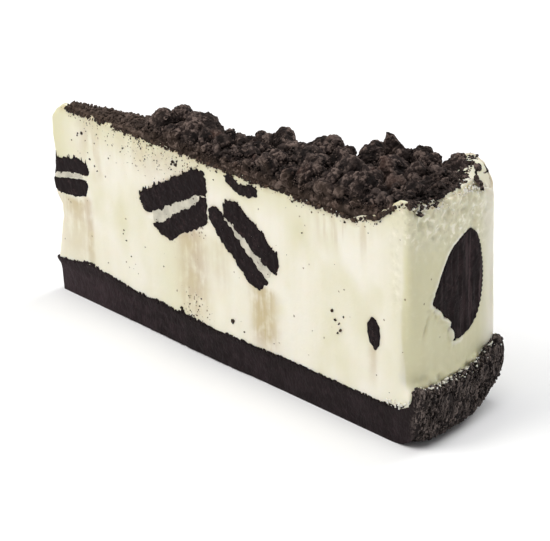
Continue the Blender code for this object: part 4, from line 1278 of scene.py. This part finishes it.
along = np.linspace(13.9, 120.8, 360)
share = np.linspace(-1, 1, 81)
grid_reach, grid_across = np.meshgrid(along, share, indexing="ij")
turn = grid_across * (half_angle - 0.1 / grid_reach)
surface = np.stack([grid_reach * np.cos(turn), grid_reach * np.sin(turn),
                    heap_top(grid_reach, grid_across)], 2)
thin = np.clip((grid_reach - 8) / 30, 0.25, 1)
grains = crumb_noise(surface, 2.2, 501)
fine = crumb_noise(surface, 0.9, 503)
rough = 1.1 * (grains - 0.5) + 0.5 * (fine - 0.5) + 0.3 * layered_noise(surface, 1.3, 502, 3)
surface[..., 2] += thin * rough
under = surface[:, ::-1].copy()
under[..., 2] = filling_top(*along_and_across(under)) - 0.6
ring = np.concatenate([surface, under[:, ::8]], 1)
first_end = np.repeat(ring[:1].mean(1, keepdims=True), ring.shape[1], 1)
last_end = np.repeat(ring[-1:].mean(1, keepdims=True), ring.shape[1], 1)
heap = np.concatenate([first_end, ring, last_end])[::-1]
# The crown mark is high on the grains and low in the gaps between them, where the topping is painted with
# shade.
crown_shading = np.zeros(heap.shape[:2])
crown_shading[1:-1, :len(share)] = np.clip(0.7 * grains + 0.6 * fine - 0.1, 0, 1)[::-1]
heap_mesh = wrapped_mesh("topping_bed", heap, {"crown_shading": crown_shading, "tint": 0.4})

# Crumbs differ in tone. The dents and gaps between them are painted with shade, and so are
# random darker patches that stand for the hollows between clumps. They are palest near the tip
# and darkest by the rim, and those close to the near cut have drawn up filling, so they are warmer.
topping_crumb, tree, shader, where = new_material("topping_crumb", 0.85)
brown, relief = crumbly(tree, where, 1200.0, 0.50, (0.019, 0.012, 0.0105, 1), (0.188, 0.137, 0.116, 1))
tint_mark = point_mark(tree, "tint")
for share, strength, tint in (
        (ramp(tree, tint_mark, 0.5, 0.95), 0.4, (0.14, 0.105, 0.092, 1)),
        (ramp(tree, noise_share(tree, where, 150.0, 2.0), 0.58, 0.70), 0.3, (0.095, 0.045, 0.030, 1)),
        # Random darker patches: painted shade that stands for the hollows between the clumps.
        (ramp(tree, noise_share(tree, where, 240.0, 2.0), 0.52, 0.36), 0.75, (0.011, 0.007, 0.006, 1))):
    brown = tinted(tree, brown, share, strength, tint)
# Where the crown mark is low, in the dents and gaps, the colour is drawn nearly to black: painted shade.
crown_shading_mark = point_mark(tree, "crown_shading")
brown = colour_mix(tree, ramp(tree, crown_shading_mark, 0.22, 0.64), (0.0075, 0.0048, 0.0042, 1), brown)
x_place = new_node(tree, "ShaderNodeSeparateXYZ", None, {0: where}).outputs[0]
across_cut = (math.sin(half_angle), math.cos(half_angle), 0.0)
to_cut = new_node(tree, "ShaderNodeVectorMath", {"operation": "DOT_PRODUCT"},
                  {0: where, 1: across_cut}).outputs["Value"]
cut_plane = axis_x * 0.001 * math.sin(half_angle)
for share, strength, tint in (
        (ramp(tree, x_place, -0.018, -0.036), 0.36, (0.17, 0.122, 0.096, 1)),
        (ramp(tree, x_place, 0.020, 0.036), 0.12, (0.019, 0.013, 0.011, 1)),
        (ramp(tree, to_cut, cut_plane + 0.0016, cut_plane + 0.0002), 0.22, (0.085, 0.053, 0.032, 1))):
    brown = tinted(tree, brown, share, strength, tint)
finish_surface(tree, shader, brown, relief, 0.7, 0.0004)
shader.inputs["Specular IOR Level"].default_value = 0.16
finished_piece(heap_mesh, topping_crumb, ["crumb_topping"])

# The clumps that stand out: reach, distance from the middle, height of the centre and size
rng = np.random.default_rng(12)
boulders = np.array([
    (41.6, 1.4, 48.2, 5.2), (44.2, -0.6, 49.0, 7.0), (46.9, 2.2, 50.3, 6.2), (49.2, -3.0, 48.6, 6.0),
    (54.2, 0.0, 48.2, 11.0), (58.6, -3.4, 47.4, 4.0), (67.4, 4.4, 49.9, 3.0), (73.4, 4.9, 50.5, 5.0),
    (63.5, 2.0, 47.6, 4.0), (69.5, -2.6, 48.6, 5.0), (79.0, -3.6, 49.4, 5.6), (80.0, 2.6, 49.4, 5.2),
    (83.6, 5.7, 51.4, 4.4), (86.0, 6.1, 51.9, 4.2), (85.5, -1.0, 50.8, 6.6), (90.5, -6.4, 49.8, 6.4),
    (92.0, 1.4, 50.3, 7.2), (96.4, 7.2, 52.6, 4.6), (98.4, -3.4, 51.6, 7.4), (97.6, 3.6, 52.3, 6.0),
    (97.0, -8.6, 49.4, 5.4), (104.6, 6.4, 53.0, 5.0), (107.9, 7.4, 54.4, 4.8), (110.8, 6.2, 53.7, 4.8),
    (105.5, -6.8, 51.4, 7.0), (106.0, 0.4, 52.6, 6.6), (111.4, 1.6, 52.8, 5.4),
    (64.4, 3.7, 48.5, 3.2), (70.4, 4.5, 49.5, 3.4), (81.0, 5.4, 50.0, 3.8)])
places = np.stack([np.sqrt(boulders[:, 0] ** 2 - boulders[:, 1] ** 2), boulders[:, 1],
                   boulders[:, 2]], 1)
mesh = crumb_mesh("topping_boulders", 5, places, boulders[:, 3], rng, lumps=0.20, grain=0.07, broken=0.45,
                  flat=0.92, even=True)
finished_piece(mesh, topping_crumb)
clump_places = places
clump_sizes = boulders[:, 3] * 0.9

# One broken piece stands on its edge and shows its point over the heap. It is a ball drawn out,
# narrower towards its top and leaning, and turned so that it lies along the heap.
directions, faces = ball(5)
slim = 0.64 - 0.32 * directions[:, 2:]
point = directions * (3.2, 2.0, 3.7) * np.concatenate([slim, slim, np.ones_like(slim)], 1)
point[:, 0] -= 1.3 * directions[:, 2]
point = point + directions * 0.3 * layered_noise(point, 2.4, 541, 3)[:, None]
point = point - directions * 0.25 * crumb_noise(point, 0.8, 543)[:, None]
point[:, :2] = point[:, :1] * (0.749, 0.662) + point[:, 1:2] * (-0.662, 0.749)
place = np.array([math.sqrt(101.2 ** 2 - 7.0 ** 2), 7.0, 54.9])
mesh = bpy.data.meshes.new("topping_point")
mesh.from_pydata(in_frame(point + place).tolist(), [], faces.tolist())
keep_marks(mesh, {"crown_shading": 0.6})
finished_piece(mesh, topping_crumb)


# Hollows between the large clumps: reach, distance from the middle of the slice and depth
hollows = np.array([(61.5, 4.0, 1.3), (66.0, 5.0, 0.8), (77.0, 4.5, 0.8), (113.6, 6.5, 0.9)])


def heap_places(rng, count, first, last, size, sink):
    """Random places over the heap, more of them where it is wide, each sunk by a share of its size,
    lower in the hollows, and none past the line where the crumbs stop."""
    reach = np.sqrt(rng.uniform(first ** 2, last ** 2, count))
    across = rng.uniform(-1, 1, count)
    across *= 1 - np.clip(size * 0.35 / (reach * math.sin(half_angle)), 0, 0.8)
    reach = np.minimum(reach, heap_end(across) - 0.3 * size - 0.7 * rng.uniform(0, 1, count) ** 3)
    height = np.maximum(heap_top(reach, across), filling_top(reach, across))
    far_end = eased(across, 0.2, 0.6) * eased(reach, 109.0, 114.0)
    height = height + size * (sink - 0.35 * eased(across, 0.3, 0.7) - 0.4 * far_end)
    places = round_axis(reach, across, height)
    from_hollow = np.hypot(reach[:, None] - hollows[:, 0], places[:, 1:2] - hollows[:, 1])
    places[:, 2] -= (hollows[:, 2] * bell(from_hollow, 0, 2.4)).sum(1)
    return places


sizes = rng.uniform(2.0, 4.8, 130)
places = heap_places(rng, 130, 46.0, 118.0, sizes, rng.uniform(-0.1, 0.35, 130))
mesh = crumb_mesh("topping_clumps", 4, places, sizes, rng, lumps=0.22, grain=0.09, grain_size=0.7,
                  broken=0.7)
finished_piece(mesh, topping_crumb)
clump_places = np.concatenate([clump_places, places])
clump_sizes = np.concatenate([clump_sizes, sizes * 0.85])


def on_clumps(rng, count):
    """Random places on the upper sides of the clumps, more of them on the larger ones."""
    pick = rng.choice(len(clump_places), count, p=clump_sizes ** 2 / np.sum(clump_sizes ** 2))
    way = rng.normal(size=(count, 3))
    way[:, 2] = np.abs(way[:, 2]) - 0.25
    way /= np.linalg.norm(way, axis=1, keepdims=True)
    return clump_places[pick] + way * (clump_sizes[pick] / 2)[:, None] * (1, 1, 0.9)


# Smaller and smaller crumbs between and on the clumps; the first of each kind lie on them
sizes = rng.uniform(0.9, 2.3, 600)
places = heap_places(rng, 600, 18.0, 119.5, sizes, rng.uniform(0.0, 0.4, 600))
sizes = np.minimum(sizes, 0.5 + places[:, 0] * 0.02)
places[:80] = on_clumps(rng, 80)
sizes[:80] *= 0.6
mesh = crumb_mesh("topping_crumbs", 3, places, sizes, rng, lumps=0.2, grain=0.12, grain_size=0.6,
                  broken=0.8)
finished_piece(mesh, topping_crumb)
sizes = rng.uniform(0.4, 1.0, 2200)
places = heap_places(rng, 2200, 14.5, 121.0, sizes, rng.uniform(0.0, 0.6, 2200))
places[:900] = on_clumps(rng, 900)
mesh = crumb_mesh("topping_bits", 2, places, sizes, rng, lumps=0.25, grain=0, broken=0.9)
finished_piece(mesh, topping_crumb)
sizes = rng.uniform(0.25, 0.6, 7500)
places = heap_places(rng, 7500, 13.7, 121.4, sizes, rng.uniform(0.2, 0.9, 7500))
places[:3000] = on_clumps(rng, 3000)
mesh = crumb_mesh("topping_grains", 1, places, sizes, rng, lumps=0.3, grain=0, broken=0.6)
finished_piece(mesh, topping_crumb)


# Loose crumbs on the cut faces and the rim.
# Real crumbs fell from the topping or were dragged down by the knife. They lie half sunk in the
# filling: a ragged line under the topping, a cloud of fine ones below it and a few on their own.
def cut_crumbs(reach, height, which):
    """Places for crumbs sunk half way into a cut face, following the near one's bulge."""
    out = cut_bulge(reach, height) if which < 0 else np.zeros(len(reach))
    return face_point(reach, height, out, which)


def below_top(rng, count, first, last, drop, which, smallest, largest):
    """Reach, height and size of crumbs just below the top edge of a cut, in uneven bunches."""
    reach = rng.uniform(first, last, count * 3)
    line = np.stack([reach, np.full(len(reach), 3.0 * which), np.full(len(reach), 7.0)], 1)
    keep = np.argsort(rng.uniform(0, 1, len(reach)) - 0.6 * layered_noise(line, 5.0, 601, 3))[:count]
    reach = reach[keep]
    edge = filling_top(reach, np.full(count, float(which)))
    height = edge + 0.1 - np.abs(rng.normal(0, drop, count))
    return np.stack([reach, height, rng.uniform(smallest, largest, count)], 1)


def strewn_over(rng, reach, lowest, highest, smallest, largest):
    """Reach, height and size of crumbs strewn between two heights."""
    count = len(reach)
    return np.stack([reach, rng.uniform(lowest, highest, count), rng.uniform(smallest, largest, count)], 1)


rng = np.random.default_rng(21)
smeared_crumb, tree, shader, where = new_material("smeared_crumb", 0.7)
brown = colour_mix(tree, ramp(tree, point_mark(tree, "tint"), 0.2, 1.0), (0.020, 0.012, 0.009, 1),
                   (0.10, 0.062, 0.042, 1))
grainy = ramp(tree, noise_share(tree, where, 1600.0, 3.0), 0.35, 0.65)
finish_surface(tree, shader, colour_mix(tree, grainy, brown, (0.03, 0.018, 0.012, 1)))
shader.inputs["Specular IOR Level"].default_value = 0.2

# The few that lie on their own on the near cut: reach, height and size
single = np.array([(19.2, 42.1, 1.3), (69.0, 11.9, 1.0), (51.0, 43.9, 1.0), (51.9, 43.4, 0.9),
                   (50.4, 43.1, 0.7), (52.2, 44.2, 0.6), (21.6, 36.4, 0.7), (23.2, 35.2, 0.6),
                   (24.0, 34.2, 0.5), (99.6, 24.2, 0.6), (100.4, 22.4, 0.7), (101.6, 21.9, 0.7),
                   (101.9, 20.4, 0.8), (101.0, 19.6, 0.5), (102.9, 23.8, 0.5), (72.5, 10.4, 0.5),
                   (32.0, 21.2, 0.5), (33.0, 19.8, 0.5), (32.4, 22.2, 0.4), (34.4, 16.4, 0.5)])

# A cloud of fine ones under the topping's thin end, then two ragged lines, and strays below
reach = 14.0 + np.abs(rng.normal(40.0, 11.0, 230) - 14.0)
cloud = np.stack([reach, 46.5 - np.abs(rng.normal(0, 4.2, 230)), rng.uniform(0.15, 0.42, 230)], 1)
near_crumbs = np.concatenate([
    single, cloud,
    below_top(rng, 620, 14.0, 120.0, 0.28, -1, 0.3, 1.0),
    below_top(rng, 240, 14.0, 114.0, 0.9, -1, 0.2, 0.5),
    strewn_over(rng, rng.normal(57.0, 3.4, 30), 8.6, 15.0, 0.14, 0.36),
    strewn_over(rng, rng.uniform(24.0, 116.0, 30), 9.0, 44.0, 0.15, 0.32)])
reach, height, sizes = near_crumbs.T
mesh = crumb_mesh("near_cut_crumbs", 2, cut_crumbs(reach, height, -1), sizes, rng, lumps=0.3,
                  grain=0, broken=0.8)
finished_piece(mesh, smeared_crumb)
far_crumbs = np.concatenate([
    below_top(rng, 620, 14.0, 119.0, 0.5, 1, 0.3, 1.0),
    strewn_over(rng, rng.uniform(20.0, 116.0, 130), 9.0, 45.0, 0.2, 0.6)])
reach, height, sizes = far_crumbs.T
mesh = crumb_mesh("far_cut_crumbs", 2, cut_crumbs(reach, height, 1), sizes, rng, lumps=0.3,
                  grain=0, broken=0.8)
finished_piece(mesh, smeared_crumb)

# Crumbs along the rim's upper edge, more of them towards the near corner, and seven set singly
count = 400
across = 1.35 * rng.uniform(0, 1, count) ** 1.6 - 0.97
sizes = rng.uniform(0.25, 0.95, count)
radius = rng.uniform(119.8, filling_radius - 0.9 * eased(across, -0.6, 0.0), count)
height = filling_top(radius, across) - np.abs(rng.normal(0, 0.5, count)) * (radius > 121.5)
stray = np.array([(121.4, 7.7, 52.4), (121.6, 8.4, 51.4), (121.7, 8.8, 50.2), (121.5, 8.0, 51.9),
                  (121.7, -11.2, 51.4), (121.7, 8.9, 51.0), (119.6, 11.0, 53.2)])
places = np.concatenate([round_axis(radius, across, height + 0.1), stray])
sizes = np.concatenate([sizes, (1.5, 1.4, 1.2, 0.9, 1.2, 1.0, 1.1)])
mesh = crumb_mesh("rim_edge_crumbs", 2, places, sizes, rng, lumps=0.3, grain=0, broken=0.8)
finished_piece(mesh, topping_crumb)

# Torn flecks of filling along the rim's upper edge and the lip, among the crumbs
count = 120
across = rng.uniform(-0.97, 0.75, count)
sizes = rng.uniform(0.25, 0.75, count)
radius = rng.uniform(121.6, 122.05, count)
height = filling_top(radius, across) - np.abs(rng.normal(0, 0.9, count)) - 0.1
places = round_axis(radius, across, height)
top_reach = rng.uniform(92.0, 118.0, 26)
top_height = filling_top(top_reach, np.full(26, -1.0)) + rng.uniform(-0.5, 0.2, 26)
foot_reach = rng.uniform(115.0, 121.7, 30)
foot_height = np.interp(foot_reach, (115.0, 119.4, 121.2, 121.8), (8.7, 9.4, 10.3, 11.4))
foot_height += rng.normal(0, 0.45, 30)
places = np.concatenate([places, cut_crumbs(top_reach, top_height, -1),
                         cut_crumbs(foot_reach, foot_height, -1)])
sizes = np.concatenate([sizes, rng.uniform(0.25, 0.5, 26), rng.uniform(0.3, 0.8, 30)])
mesh = crumb_mesh("rim_edge_flecks", 2, places, sizes, rng, lumps=0.4, grain=0, broken=0.3, flat=0.6)
finished_piece(mesh, cream_cheese)
